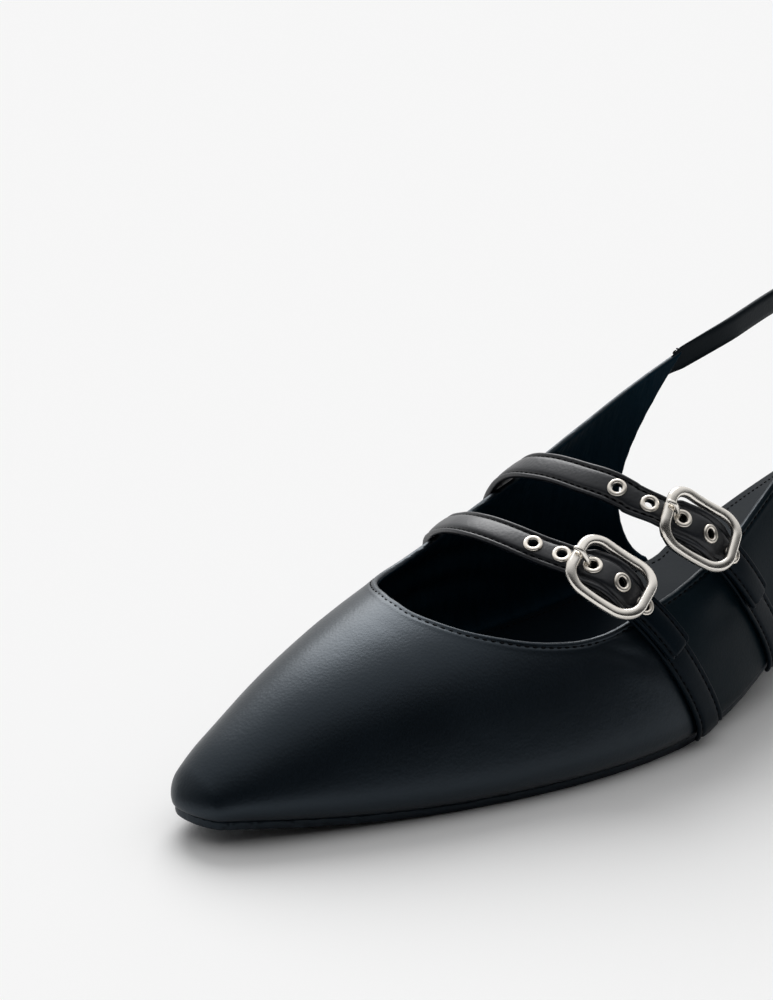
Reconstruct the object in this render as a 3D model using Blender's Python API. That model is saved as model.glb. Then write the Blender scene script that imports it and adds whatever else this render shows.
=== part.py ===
"""Slingback pump, a woman's left shoe: +X is its outer side, -Y its toe, +Z up.

The origin lies on the floor under the middle of the heel. Every piece is a
closed solid in metres. The upper is one hollow shell on the surface of a last.
"""
from math import cos, pi, radians, sin

import bmesh
import bpy
import numpy as np

# Sizes of the last and the sole
SHOE_LENGTH = 0.262
BALL_WIDTH = 0.076
INSTEP_HEIGHT = 0.0628
HEEL_HEIGHT = 0.026
TOE_SPRING = 0.0045
TOE_ROUNDING = 0.0047
HEEL_ROUNDING = 0.0197
FEATHER_BULGE = 0.0018
BULGE_HEIGHT = 0.005
BULGE_START = 0.013
OUTSOLE_THICKNESS = 0.0022
OUTSOLE_INSET = 0.0006
INSOLE_THICKNESS = 0.002
HEEL_LENGTH = 0.052
HEEL_INSET = 0.001
HEEL_TAPER = 0.004
TOP_PIECE_THICKNESS = 0.005

# Sizes of the upper, the sling and the straps
UPPER_WALL = 0.0016
SLING_WIDTH = 0.0069
SLING_THICKNESS = 0.0015
SLING_TUCK = 0.005
STRAP_WIDTH = 0.0079
STRAP_THICKNESS = 0.0017
STRAP_PADDING = 0.0005
BAND_WIDTH = 0.0078
BAND_FLARE = 0.0012
BAND_THICKNESS = 0.0014
STRAP_GAP = 0.0006
STRAP_TAIL = 0.0225
SOLE_MARGIN = 0.0011

# Sizes of the metal pieces
FRAME_LENGTH = 0.0184
FRAME_WIDTH = 0.0162
FRAME_BAR = 0.0023
FRAME_CORNER = 0.0054
FRAME_BOW = 0.0018
HINGE_BAR = 0.0014
HINGE_DROP = 0.0011
PRONG_THICKNESS = 0.0012
EYELET_WIDTH = 0.0045
EYELET_BORE = 0.0023
EYELET_HEIGHT = 0.00045
EYELET_COUNT = 5
EYELET_PITCH = 0.0068
PRONG_REACH = 0.0048
CLEARANCE = 0.0003
PRONG_HOLE = PRONG_REACH - FRAME_LENGTH / 2.0

# Sections of the last: share of the length, outer and inner half width and
# sideways shift of the crest as shares of the ball width, crest as a share of
# the instep height, and how full the shoulder is in width and in height
SECTIONS = (
    # along, outer, inner, crest, shift, full_width, full_height
    (0.00, 0.105, 0.070, 0.070, 0.000, 0.00, 0.00),
    (0.04, 0.165, 0.121, 0.204, 0.000, 0.05, 0.05),
    (0.10, 0.257, 0.212, 0.360, -0.007, 0.10, 0.10),
    (0.18, 0.366, 0.312, 0.505, -0.013, 0.15, 0.10),
    (0.26, 0.455, 0.389, 0.605, -0.026, 0.15, 0.05),
    (0.34, 0.512, 0.442, 0.718, -0.040, 0.12, 0.00),
    (0.42, 0.526, 0.461, 0.839, -0.053, 0.10, 0.00),
    (0.50, 0.484, 0.429, 0.984, -0.053, 0.10, 0.00),
    (0.58, 0.411, 0.366, 1.190, -0.053, 0.12, 0.00),
    (0.68, 0.345, 0.303, 1.480, -0.026, 0.15, 0.00),
    (0.78, 0.342, 0.313, 1.690, 0.000, 0.15, 0.00),
    (0.88, 0.353, 0.345, 1.770, 0.000, 0.10, 0.00),
    (1.00, 0.350, 0.350, 1.770, 0.000, 0.10, 0.00),
)

# Bottom of the last: share of the length, shares of the toe spring and heel
SOLE_LINE = (
    # along, spring, rise
    (0.00, 1.00, 0.00),
    (0.08, 0.42, 0.00),
    (0.20, 0.00, 0.00),
    (0.30, 0.00, 0.00),
    (0.44, 0.00, 0.00),
    (0.52, 0.00, 0.10),
    (0.62, 0.00, 0.36),
    (0.72, 0.00, 0.66),
    (0.82, 0.00, 0.88),
    (0.92, 0.00, 0.97),
    (1.00, 0.00, 1.00),
)

# Upper's ribs, from the toe (0) to the end of the wing (1): where each meets
# the topline, as a share of the length and an angle up the side of the last,
# and how far the rib bows back between the sole and the topline
OUTER_RIBS = (
    # rib, along, angle, bow
    (0.00, 0.228, 92.0, 0.000),
    (0.10, 0.227, 78.0, 0.000),
    (0.22, 0.247, 61.0, 0.000),
    (0.32, 0.279, 49.5, 0.000),
    (0.42, 0.313, 42.5, 0.000),
    (0.52, 0.351, 38.5, 0.000),
    (0.64, 0.414, 37.5, 0.004),
    (0.75, 0.478, 36.0, 0.008),
    (0.86, 0.549, 33.5, 0.012),
    (0.95, 0.615, 32.5, 0.015),
    (1.00, 0.652, 33.0, 0.016),
)
INNER_RIBS = (
    # rib, along, angle, bow
    (0.00, 0.228, 92.0, 0.000),
    (0.10, 0.238, 106.0, 0.000),
    (0.22, 0.262, 120.0, 0.000),
    (0.32, 0.295, 127.5, 0.000),
    (0.42, 0.335, 129.0, 0.000),
    (0.52, 0.375, 127.5, 0.003),
    (0.64, 0.430, 125.0, 0.006),
    (0.75, 0.490, 124.0, 0.010),
    (0.86, 0.553, 129.8, 0.015),
    (0.95, 0.615, 135.8, 0.020),
    (1.00, 0.650, 138.9, 0.021),
)
WING_END = 0.637
INSOLE_STEP = 0.004
INSOLE_RAMP = 0.020

# Paths of the straps round the last: angle from the outer sole edge over the
# instep to the inner one, and where each strap crosses, as shares of the length
STRAP_PATHS = (
    # angle, front, rear
    (0.0, 0.455, 0.577),
    (10.0, 0.441, 0.556),
    (20.0, 0.425, 0.533),
    (36.0, 0.399, 0.500),
    (50.0, 0.376, 0.467),
    (62.0, 0.356, 0.443),
    (74.0, 0.341, 0.429),
    (92.0, 0.334, 0.422),
    (112.0, 0.343, 0.427),
    (132.0, 0.361, 0.438),
    (155.0, 0.384, 0.452),
    (180.0, 0.400, 0.462),
)
BUCKLE_ANGLES = {"front": 50.0, "rear": 45.6}

# Length of each buckle and of its row of holes against the named sizes
BUCKLE_STRETCH = {"front": 0.99, "rear": 1.09}

# Tilt of each strap's face towards the toe, where it spans the opening
STRAP_TILTS = (
    # angle, front, rear
    (0.0, 0.0, 0.0),
    (56.0, 0.0, 0.0),
    (57.0, 0.0, 0.0),
    (64.0, 2.0, 12.0),
    (72.0, 3.0, 18.0),
    (82.0, 3.0, 14.0),
    (98.0, 3.0, 12.0),
    (122.0, 0.0, 0.0),
    (123.0, 0.0, 0.0),
    (180.0, 0.0, 0.0),
)

# Rise of each strap over the last where it spans the opening, as shares of its width
STRAP_RISES = (
    # angle, front, rear
    (0.0, 0.00, 0.00),
    (46.0, 0.00, 0.00),
    (47.0, 0.00, 0.00),
    (58.0, 0.00, 0.20),
    (68.0, 0.00, 0.36),
    (80.0, 0.00, 0.18),
    (95.0, -0.10, 0.03),
    (105.0, -0.18, -0.02),
    (115.0, -0.20, -0.05),
    (124.0, -0.12, -0.04),
    (134.0, 0.00, 0.00),
    (135.0, 0.00, 0.00),
    (180.0, 0.00, 0.00),
)

# Height of the sling over the last's bottom, as shares of the instep height,
# from the end of the outer wing round the heel to the end of the inner wing
SLING_HEIGHTS = (
    # round, height
    (-1.0, 0.690),
    (-0.6, 0.745),
    (0.0, 0.800),
    (0.6, 0.885),
    (0.8, 0.917),
    (0.93, 0.913),
    (1.0, 0.897),
)

RIB_COUNT = 64
ROW_COUNT = 13
ORIGIN_FROM_TOE = SHOE_LENGTH - HEEL_LENGTH / 2.0


def column(table, index):
    """One column of a table as an array."""
    return np.array([row[index] for row in table])


def smooth(table, index, at):
    """Value of a column at places between the rows, without corners."""
    xs = column(table, 0)
    ys = column(table, index)
    slopes = np.gradient(ys, xs)
    slopes[0] = (ys[1] - ys[0]) / (xs[1] - xs[0])
    slopes[-1] = (ys[-1] - ys[-2]) / (xs[-1] - xs[-2])
    at = np.asarray(at, float)
    i = np.clip(np.searchsorted(xs, at, side="right") - 1, 0, len(xs) - 2)
    step = xs[i + 1] - xs[i]
    s = np.clip((at - xs[i]) / step, 0.0, 1.0)
    start = ys[i] * (1 + 2 * s) * (1 - s) ** 2 + step * slopes[i] * s * (1 - s) ** 2
    end = ys[i + 1] * s * s * (3 - 2 * s) + step * slopes[i + 1] * s * s * (s - 1)
    return start + end


def quarter_round(share):
    """Height of a quarter circle over a share from 0 to 1."""
    share = np.clip(share, 0.0, 1.0)
    return np.sqrt(1 - (1 - share) ** 2)


def toe_round(along):
    return quarter_round(along * SHOE_LENGTH / TOE_ROUNDING)


def heel_round(along):
    return quarter_round((1 - along) * SHOE_LENGTH / HEEL_ROUNDING)


def half_width(along, outer):
    """Half width of the last's bottom on the outer or the inner side."""
    share = np.where(outer, smooth(SECTIONS, 1, along), smooth(SECTIONS, 2, along))
    return BALL_WIDTH * share * toe_round(along) * heel_round(along)


def last_bottom(along):
    """Height of the last's bottom over the floor."""
    spring = TOE_SPRING * np.maximum(smooth(SOLE_LINE, 1, along), 0.0)
    rise = HEEL_HEIGHT * np.maximum(smooth(SOLE_LINE, 2, along), 0.0)
    return OUTSOLE_THICKNESS + CLEARANCE + spring + rise


def last_surface(along, angle):
    """Point of the last: angle 0 is the outer sole edge, pi the inner one."""
    c = np.cos(angle)
    s = np.sin(angle)
    width = half_width(along, c >= 0)
    full_width = smooth(SECTIONS, 5, along)
    full_height = smooth(SECTIONS, 6, along)
    crest = INSTEP_HEIGHT * smooth(SECTIONS, 3, along) * toe_round(along)
    height = crest * (s + full_height * s * c * c)
    shift = BALL_WIDTH * smooth(SECTIONS, 4, along)
    x = width * (c + full_width * c * s * s) + shift * s * s
    begun = np.clip(along * SHOE_LENGTH / BULGE_START, 0.0, 1.0)
    bulge = FEATHER_BULGE * height / BULGE_HEIGHT * np.exp(1 - height / BULGE_HEIGHT)
    bulge = bulge * (0.3 + 0.7 * begun * begun * (3 - 2 * begun))
    root = np.sqrt(np.maximum(along, 1e-12))
    across = 2 * SHOE_LENGTH * root * c * root / np.maximum(width, 1e-6)
    norm = np.sqrt(across * across + 1)
    y = along * SHOE_LENGTH - ORIGIN_FROM_TOE - bulge / norm
    z = last_bottom(along) + height
    return np.stack([x + bulge * across / norm, y, z], -1)


def chart(p, q):
    """Point of the last in chart coordinates, which are even round the toe."""
    along = p * p + q * q
    return last_surface(along, np.arctan2(q, p))


def unit(v):
    return v / np.maximum(np.linalg.norm(v, axis=-1, keepdims=True), 1e-12)


def chart_normal(p, q):
    """Outward direction of the last at a chart point."""
    step = 1e-4
    along_p = chart(p + step, q) - chart(p - step, q)
    along_q = chart(p, q + step) - chart(p, np.maximum(q - step, 0.0))
    return unit(np.cross(along_p, along_q))


def rib_points(rib, row):
    """Chart coordinates on the upper; rib runs -1 (outer wing) to 1 (inner wing)."""
    rib, row = np.broadcast_arrays(np.asarray(rib, float), np.asarray(row, float))
    size = np.abs(rib)
    outer = rib < 0
    along = np.where(outer, smooth(OUTER_RIBS, 1, size), smooth(INNER_RIBS, 1, size))
    angle = np.where(outer, smooth(OUTER_RIBS, 2, size), smooth(INNER_RIBS, 2, size))
    bow = np.where(outer, smooth(OUTER_RIBS, 3, size), smooth(INNER_RIBS, 3, size))
    start = -rib * np.sqrt(WING_END)
    p_top = np.sqrt(along) * np.cos(np.radians(angle))
    q_top = np.sqrt(along) * np.sin(np.radians(angle))
    side = np.where(outer, 1.0, -1.0)
    p = start + (p_top - start) * row + side * bow * 4 * row * (1 - row)
    return p, q_top * row


def material(name, colour, roughness, metallic=0.0):
    mat = bpy.data.materials.new(name)
    mat.use_nodes = True
    shader = mat.node_tree.nodes["Principled BSDF"]
    shader.inputs["Base Color"].default_value = (*colour, 1.0)
    shader.inputs["Roughness"].default_value = roughness
    shader.inputs["Metallic"].default_value = metallic
    return mat


def add_solid(name, points, faces, mat, anchor=(0.0, 0.0, 0.0)):
    """A closed solid as its own object, with its origin at the anchor."""
    anchor = np.asarray(anchor, float)
    mesh = bpy.data.meshes.new(name)
    local = (np.asarray(points, float).reshape(-1, 3) - anchor).tolist()
    mesh.from_pydata(local, [], [tuple(int(i) for i in face) for face in faces])
    shell = bmesh.new()
    shell.from_mesh(mesh)
    bmesh.ops.recalc_face_normals(shell, faces=shell.faces[:])
    shell.to_mesh(mesh)
    shell.free()
    mesh.materials.append(mat)
    mesh.shade_smooth()
    mesh.set_sharp_from_angle(angle=radians(40))
    obj = bpy.data.objects.new(name, mesh)
    obj.location = anchor.tolist()
    bpy.context.scene.collection.objects.link(obj)
    obj.parent = shoe
    return obj


def loft(name, rings, mat, anchor=(0.0, 0.0, 0.0), closed=False):
    """A solid through rings of equally many points, capped unless it is closed."""
    rings = np.asarray(rings, float)
    count, size = rings.shape[:2]
    faces = []
    for k in range(count if closed else count - 1):
        a = k * size
        b = (k + 1) % count * size
        for i in range(size):
            j = (i + 1) % size
            faces.append((a + i, a + j, b + j, b + i))
    if not closed:
        faces.append(tuple(range(size)))
        faces.append(tuple(range((count - 1) * size, count * size)))
    return add_solid(name, rings, faces, mat, anchor)


def build_upper(mat):
    """One hollow shell on the last, open below, at the throat and at the back."""
    ribs = np.linspace(-1, 1, RIB_COUNT + 1)[:, None]
    rows = np.linspace(0, 1, ROW_COUNT + 1)[None, :]
    p, q = rib_points(ribs, rows)
    outside = chart(p, q)
    inward = -chart_normal(p, q)
    inward[:, 0, 2] = 0.0
    inward[:, 0] = unit(inward[:, 0])
    inside = outside + UPPER_WALL * inward
    points = np.concatenate([outside.reshape(-1, 3), inside.reshape(-1, 3)])
    width = ROW_COUNT + 1
    shift = (RIB_COUNT + 1) * width
    faces = []
    for i in range(RIB_COUNT):
        for j in range(ROW_COUNT):
            a = i * width + j
            quad = (a, a + 1, a + width + 1, a + width)
            faces.append(quad)
            faces.append(tuple(v + shift for v in reversed(quad)))
        for a in (i * width, i * width + ROW_COUNT):
            faces.append((a, a + width, a + width + shift, a + shift))
    for j in range(ROW_COUNT):
        for a in (j, RIB_COUNT * width + j):
            faces.append((a, a + 1, a + 1 + shift, a + shift))
    return add_solid("upper", points, faces, mat)


def outline(alongs, inset):
    """Plan points down the outer and back up the inner side, moved inward."""
    sides = []
    for outer, sign in ((True, 1.0), (False, -1.0)):
        x = sign * half_width(alongs, outer)
        y = alongs * SHOE_LENGTH
        step = np.stack([np.gradient(x), np.gradient(y)], -1)
        step[0] = (sign, 0.0)
        step[-1] = (-sign, 0.0)
        step = unit(step)
        move = np.stack([-step[:, 1], step[:, 0]], -1) * sign
        sides.append(np.stack([x, y], -1) + move * inset[:, None])
    return sides


def sole_stations(count):
    """Places along the shoe, closer together at the toe and the heel."""
    turn = np.linspace(0, pi, count)
    even = (1 - np.cos(turn)) / 2
    return 0.55 * even + 0.45 * (even * even * (3 - 2 * even))


def build_slab(name, alongs, inset, top, bottom, mat):
    """A slab with the sole's outline between two heights, rounded at its edge."""
    outer, inner = outline(alongs, inset)
    x = np.stack([outer[:, 0], inner[:, 0]], 1)
    y = np.stack([outer[:, 1], inner[:, 1]], 1)
    x[0] = 0.0
    x[-1] = 0.0
    along = y / SHOE_LENGTH
    rings = []
    for k in range(1, len(alongs) - 1):
        high = top(along[k])
        low = bottom(along[k])
        ring = [
            (x[k, 0], y[k, 0], low[0]),
            (x[k, 0], y[k, 0], high[0]),
            (x[k, 1], y[k, 1], high[1]),
            (x[k, 1], y[k, 1], low[1]),
        ]
        rings.append(ring)
    rings = np.asarray(rings)
    rings[:, :, 1] -= ORIGIN_FROM_TOE
    count = len(rings)
    points = [tuple(p) for p in rings.reshape(-1, 3)]
    faces = []
    for k in range(count - 1):
        a = 4 * k
        for i in range(4):
            j = (i + 1) % 4
            faces.append((a + i, a + j, a + 4 + j, a + 4 + i))
    for k, ring in ((0, 0), (len(alongs) - 1, count - 1)):
        tip_y = y[k, 0] - ORIGIN_FROM_TOE
        low = len(points)
        points.append((0.0, tip_y, float(bottom(along[k, 0]))))
        points.append((0.0, tip_y, float(top(along[k, 0]))))
        a = 4 * ring
        faces.append((a, a + 1, low + 1, low))
        faces.append((a + 1, a + 2, low + 1))
        faces.append((a + 2, a + 3, low, low + 1))
        faces.append((a + 3, a, low))
    return add_solid(name, points, faces, mat)


def build_outsole(mat):
    alongs = sole_stations(49)
    inset = np.full(len(alongs), OUTSOLE_INSET)

    def top(along):
        return last_bottom(along) - CLEARANCE

    def bottom(along):
        return last_bottom(along) - CLEARANCE - OUTSOLE_THICKNESS

    return build_slab("outsole", alongs, inset, top, bottom, mat)


def build_insole(mat):
    """Inside the wings it is as narrow as the walls leave; behind, full width."""
    alongs = sole_stations(57)
    behind = np.clip((alongs - WING_END - INSOLE_STEP) / INSOLE_RAMP, 0, 1)
    inset = (1 - behind) * (UPPER_WALL + 2 * CLEARANCE)

    def top(along):
        return last_bottom(along) + INSOLE_THICKNESS

    return build_slab("insole", alongs, inset, top, last_bottom, mat)


def heel_loop(narrowing):
    """Plan loop of the heel, narrowed all round."""
    front = 1 - HEEL_LENGTH / SHOE_LENGTH
    turn = np.linspace(0, pi / 2, 12)
    alongs = front + (1 - front) * np.sin(turn)
    inset = np.full(len(alongs), HEEL_INSET)
    outer, inner = outline(alongs, inset)
    outer[0, 0] = outer[1, 0]
    inner[0, 0] = inner[1, 0]
    outer[0, 1] = front * SHOE_LENGTH
    inner[0, 1] = front * SHOE_LENGTH
    tip = outer[-1].copy()
    tip[0] = 0.0
    loop = np.concatenate([outer[:-1], tip[None], inner[-2::-1]])
    loop[:, 1] -= ORIGIN_FROM_TOE
    middle = np.array([0.0, 0.0])
    half = np.array([np.ptp(loop[:, 0]), np.ptp(loop[:, 1])]) / 2
    return middle + (loop - middle) * (1 - narrowing / half)


def build_heel(mat):
    rings = []
    for share, narrowing in ((0.0, 1.0), (0.35, 0.85), (0.7, 0.5), (1.0, 0.0)):
        loop = heel_loop(HEEL_TAPER * narrowing)
        along = (loop[:, 1] + ORIGIN_FROM_TOE) / SHOE_LENGTH
        ceiling = last_bottom(along) - OUTSOLE_THICKNESS - 2 * CLEARANCE
        ground = TOP_PIECE_THICKNESS + CLEARANCE
        z = ground + (ceiling - ground) * share
        rings.append(np.column_stack([loop, z]))
    return loft("heel", rings, mat)


def build_top_piece(mat):
    loop = heel_loop(HEEL_TAPER)
    rings = []
    for z in (0.0, TOP_PIECE_THICKNESS):
        rings.append(np.column_stack([loop, np.full(len(loop), z)]))
    return loft("heel_top_piece", rings, mat)


class StrapPath:
    """Places on the last along a strap: distance from the buckle, outward +."""

    def __init__(self, which):
        index = {"front": 1, "rear": 2}[which]
        angles = np.linspace(0.0, 180.0, 721)
        alongs = smooth(STRAP_PATHS, index, angles)
        p = np.sqrt(alongs) * np.cos(np.radians(angles))
        q = np.sqrt(alongs) * np.sin(np.radians(angles))
        self.points = chart(p, q)
        self.normals = chart_normal(p, q)
        self.tilts = np.radians(smooth(STRAP_TILTS, index, angles))
        self.rises = STRAP_WIDTH * smooth(STRAP_RISES, index, angles)
        low = self.points[:, 2] - last_bottom(alongs)
        self.points = self.points + self.normals * self.rises[:, None]
        steps = np.linalg.norm(np.diff(self.points, axis=0), axis=1)
        walked = np.concatenate([[0.0], np.cumsum(steps)])
        centre = np.interp(BUCKLE_ANGLES[which], angles, walked)
        self.distance = (centre - walked) / BUCKLE_STRETCH[which]
        self.outer_end = self.distance[np.argmax(low > SOLE_MARGIN)]
        last = len(low) - 1 - np.argmax(low[::-1] > SOLE_MARGIN)
        self.inner_end = self.distance[last]

    def read(self, values, distance):
        order = np.argsort(self.distance)
        xs = self.distance[order]
        columns = [np.interp(distance, xs, values[order, k]) for k in range(values.shape[1])]
        return np.stack(columns, -1)

    def frame(self, distance):
        step = 0.0008
        distance = np.asarray(distance, float)
        middle = self.read(self.points, distance)
        ahead = self.read(self.points, distance + step)
        back = self.read(self.points, distance - step)
        normal = unit(self.read(self.normals, distance))
        forward = unit(ahead - back)
        side = unit(np.cross(forward, normal))
        up = unit(np.cross(side, forward))
        tilt = self.read(self.tilts[:, None], distance)
        return middle, side * np.cos(tilt) - up * np.sin(tilt), up * np.cos(tilt) + side * np.sin(tilt)

    def place(self, distance, across, level):
        """Point at a distance along, across the strap and over the last."""
        middle, side, up = self.frame(distance)
        across = np.asarray(across, float)[..., None]
        level = np.asarray(level, float)[..., None]
        return middle + side * across + up * level

    def place_metal(self, distance, across, level):
        """The same for the buckle: one even curve along, and straight cross bars."""
        reach = FRAME_LENGTH / 2 - FRAME_BAR / 2
        middle, side, up = self.frame(0.0)
        ends = self.place(np.array([-reach, reach]), 0.0, 0.0) - middle
        ends = ends - side * (ends @ side)[:, None]
        run = np.asarray(distance, float)[..., None] / reach
        slope = (ends[1] - ends[0]) / 2
        bend = (ends[1] + ends[0]) / 2
        line = middle + slope * run + bend * run * run
        out = unit(np.cross(side, slope + 2 * bend * run))
        across = np.asarray(across, float)[..., None]
        return line + out * np.asarray(level, float)[..., None] + side * across


def bar_level():
    return CLEARANCE * 2 + BAND_THICKNESS + HINGE_BAR / 2


def strap_level(distance):
    """Height of the strap's underside over the last."""
    distance = np.asarray(distance, float)
    reach = FRAME_LENGTH / 2 - FRAME_BAR / 2
    on_band = CLEARANCE * 2 + BAND_THICKNESS
    on_bar = bar_level() + HINGE_BAR / 2 + CLEARANCE
    arch = 0.5 + 0.5 * np.cos(pi * np.clip(distance / reach, -1, 1))
    fall = np.clip((-distance - 0.5 * reach) / (1.6 * reach), 0, 1)
    fall = fall * fall * (3 - 2 * fall)
    return on_band + (on_bar - on_band) * arch - (on_band - STRAP_GAP) * fall


def build_strap(path, name, mat):
    """A padded strap from the inner sole edge to its tip beyond the buckle."""
    length = STRAP_TAIL - path.inner_end
    stations = path.inner_end + length * np.linspace(0, 1, 62)
    half = STRAP_WIDTH / 2
    low = strap_level(stations)
    edge = STRAP_THICKNESS - STRAP_PADDING
    tip = np.clip((STRAP_TAIL - stations) / (0.25 * STRAP_WIDTH), 0, 1)
    narrow = 0.72 + 0.28 * np.sqrt(tip * (2 - tip))
    shape = (
        (-1.0, 0.0), (1.0, 0.0), (1.0, edge), (0.7, STRAP_THICKNESS),
        (-0.7, STRAP_THICKNESS), (-1.0, edge),
    )
    rings = []
    for across, level in shape:
        rings.append(path.place(stations, across * half * narrow, low + level))
    anchor = path.place(0.0, 0.0, 0.0)
    return loft(name, np.stack(rings, 1), mat, anchor)


def build_band(path, name, mat):
    """A flat band from under the buckle's hinge bar to the outer sole edge."""
    start = -HINGE_BAR / 2 - CLEARANCE
    stations = np.linspace(start, path.outer_end, 24)
    run = (stations - start) / (path.outer_end - start)
    half = (BAND_WIDTH + BAND_FLARE * run * run) / 2
    rings = []
    for across, level in ((-1, 0), (1, 0), (1, 1), (-1, 1)):
        height = CLEARANCE + BAND_THICKNESS * level
        rings.append(path.place(stations, across * half, np.full(24, height)))
    anchor = path.place(0.0, 0.0, 0.0)
    return loft(name, np.stack(rings, 1), mat, anchor)


def frame_level(distance):
    """Height of the buckle frame's middle line over the last."""
    reach = FRAME_LENGTH / 2 - FRAME_BAR / 2
    return bar_level() + HINGE_DROP + FRAME_BOW * (distance / reach) ** 2


def bar_rings(points, radii, sides, closed):
    """Round rings square to a run of points."""
    points = np.asarray(points, float)
    if closed:
        forward = np.roll(points, -1, 0) - np.roll(points, 1, 0)
    else:
        forward = np.gradient(points, axis=0)
    forward = unit(forward)
    middle = points.mean(0)
    out = unit(points - middle)
    rings = []
    for k in range(len(points)):
        side = unit(np.cross(forward[k], out[k]))
        top = np.cross(side, forward[k])
        ring = []
        for i in range(sides):
            turn = 2 * pi * i / sides
            ring.append(points[k] + radii[k] * (cos(turn) * side + sin(turn) * top))
        rings.append(ring)
    return rings


def rounded_rectangle(length, width, corner):
    """Loop of distances and offsets with round corners, six to a corner."""
    loop = []
    for k in range(4):
        sx = (1, -1, -1, 1)[k]
        sy = (1, 1, -1, -1)[k]
        for i in range(6):
            turn = radians(90 * k + 18 * i)
            x = sx * (length / 2 - corner) + corner * cos(turn)
            y = sy * (width / 2 - corner) + corner * sin(turn)
            loop.append((x, y))
        if k in (0, 2):
            for share in (0.25, 0.5, 0.75):
                x = sx * (length / 2 - corner) * (1 - 2 * share)
                loop.append((x, sy * width / 2))
    return np.asarray(loop)


def unite(first, second):
    """The first solid with the second joined to it."""
    change = first.modifiers.new("join", "BOOLEAN")
    change.operation = "UNION"
    change.object = second
    bpy.context.view_layer.update()
    seen = first.evaluated_get(bpy.context.evaluated_depsgraph_get())
    mesh = bpy.data.meshes.new_from_object(seen)
    first.modifiers.clear()
    first.data = mesh
    bpy.data.objects.remove(second)


def build_frame(path, name, mat):
    """A rounded frame with its hinge bar under the strap."""
    loop = rounded_rectangle(
        FRAME_LENGTH - FRAME_BAR, FRAME_WIDTH - FRAME_BAR, FRAME_CORNER - FRAME_BAR / 2
    )
    points = path.place_metal(loop[:, 0], loop[:, 1], frame_level(loop[:, 0]))
    anchor = path.place(0.0, 0.0, 0.0)
    radii = np.full(len(points), FRAME_BAR / 2)
    frame = loft(name, bar_rings(points, radii, 8, True), mat, anchor, closed=True)
    reach = (FRAME_WIDTH - FRAME_BAR) / 2
    offsets = np.linspace(-reach, reach, 5)
    places = path.place(np.zeros(5), offsets, np.full(5, bar_level()))
    radii = np.full(5, HINGE_BAR / 2)
    rings = []
    forward = unit(places[-1] - places[0])
    side = unit(np.cross(forward, path.frame(0.0)[2]))
    top = np.cross(side, forward)
    for k in range(5):
        ring = []
        for i in range(8):
            turn = 2 * pi * (i + 0.5) / 8
            ring.append(places[k] + radii[k] * (cos(turn) * side + sin(turn) * top))
        rings.append(ring)
    bar = loft(name + "_bar", rings, mat, anchor)
    unite(frame, bar)
    return frame


def prong_line():
    """Distance and level of the prong, from the hinge bar over the frame's end."""
    reach = FRAME_LENGTH / 2 - FRAME_BAR / 2
    over = frame_level(-reach) + FRAME_BAR / 2 + CLEARANCE + PRONG_THICKNESS / 2
    start = -HINGE_BAR / 2 - CLEARANCE - PRONG_THICKNESS / 2
    below = float(strap_level(PRONG_HOLE)) - CLEARANCE - PRONG_THICKNESS
    hole = PRONG_HOLE
    return np.array([
        (start, bar_level()),
        (start * 1.6, bar_level() - 0.5 * PRONG_THICKNESS),
        ((start + hole) / 2, below * 0.9),
        (hole + 0.35 * PRONG_THICKNESS, below),
        (hole, below + 0.8 * PRONG_THICKNESS),
        (hole, over - 0.8 * PRONG_THICKNESS),
        (hole - 0.4 * PRONG_THICKNESS, over - 0.1 * PRONG_THICKNESS),
        (-reach, over),
        (-reach - 0.9 * PRONG_THICKNESS, over - 0.25 * PRONG_THICKNESS),
    ])


def build_prong(path, name, mat):
    line = prong_line()
    points = path.place(line[:, 0], np.zeros(len(line)), line[:, 1])
    side = path.frame(line[4, 0])[1]
    forward = unit(np.gradient(points, axis=0))
    shares = np.array([0.8, 0.9, 0.9, 0.9, 0.9, 0.95, 1.0, 0.95, 0.6])
    rings = []
    for k in range(len(points)):
        top = unit(np.cross(side, forward[k]))
        ring = []
        for i in range(8):
            turn = 2 * pi * (i + 0.5) / 8
            reach = shares[k] * PRONG_THICKNESS / 2
            ring.append(points[k] + reach * (cos(turn) * side + sin(turn) * top))
        rings.append(ring)
    return loft(name, rings, mat, path.place(0.0, 0.0, 0.0))


def on_strap(path, distance, height):
    """Place, forward, side and up on the strap, at a height over its underside."""
    step = 0.0015
    ahead = path.place(distance + step, 0.0, strap_level(distance + step) + height)
    back = path.place(distance - step, 0.0, strap_level(distance - step) + height)
    middle = path.place(distance, 0.0, strap_level(distance) + height)
    forward = unit(ahead - back)
    side = path.frame(distance)[1]
    return middle, forward, side, unit(np.cross(side, forward))


def eyelet_distances():
    """Places of the eyelets; the prong stands in the third."""
    numbers = np.arange(EYELET_COUNT) - 2
    return PRONG_HOLE + EYELET_PITCH * numbers


def build_eyelet(path, distance, name, mat):
    """A turned ring on the strap's face."""
    base, forward, side, up = on_strap(path, distance, STRAP_THICKNESS + CLEARANCE)
    bore = EYELET_BORE / 2
    edge = EYELET_WIDTH / 2
    shape = (
        (bore, 0.0), (edge, 0.0), (edge, 0.35), (0.6 * edge + 0.4 * bore, 1.0),
        (0.25 * edge + 0.75 * bore, 1.0), (bore, 0.55),
    )
    rings = []
    for i in range(16):
        turn = 2 * pi * i / 16
        out = cos(turn) * forward + sin(turn) * side
        rings.append([base + out * r + up * EYELET_HEIGHT * h for r, h in shape])
    return loft(name, rings, mat, base, closed=True)


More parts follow.
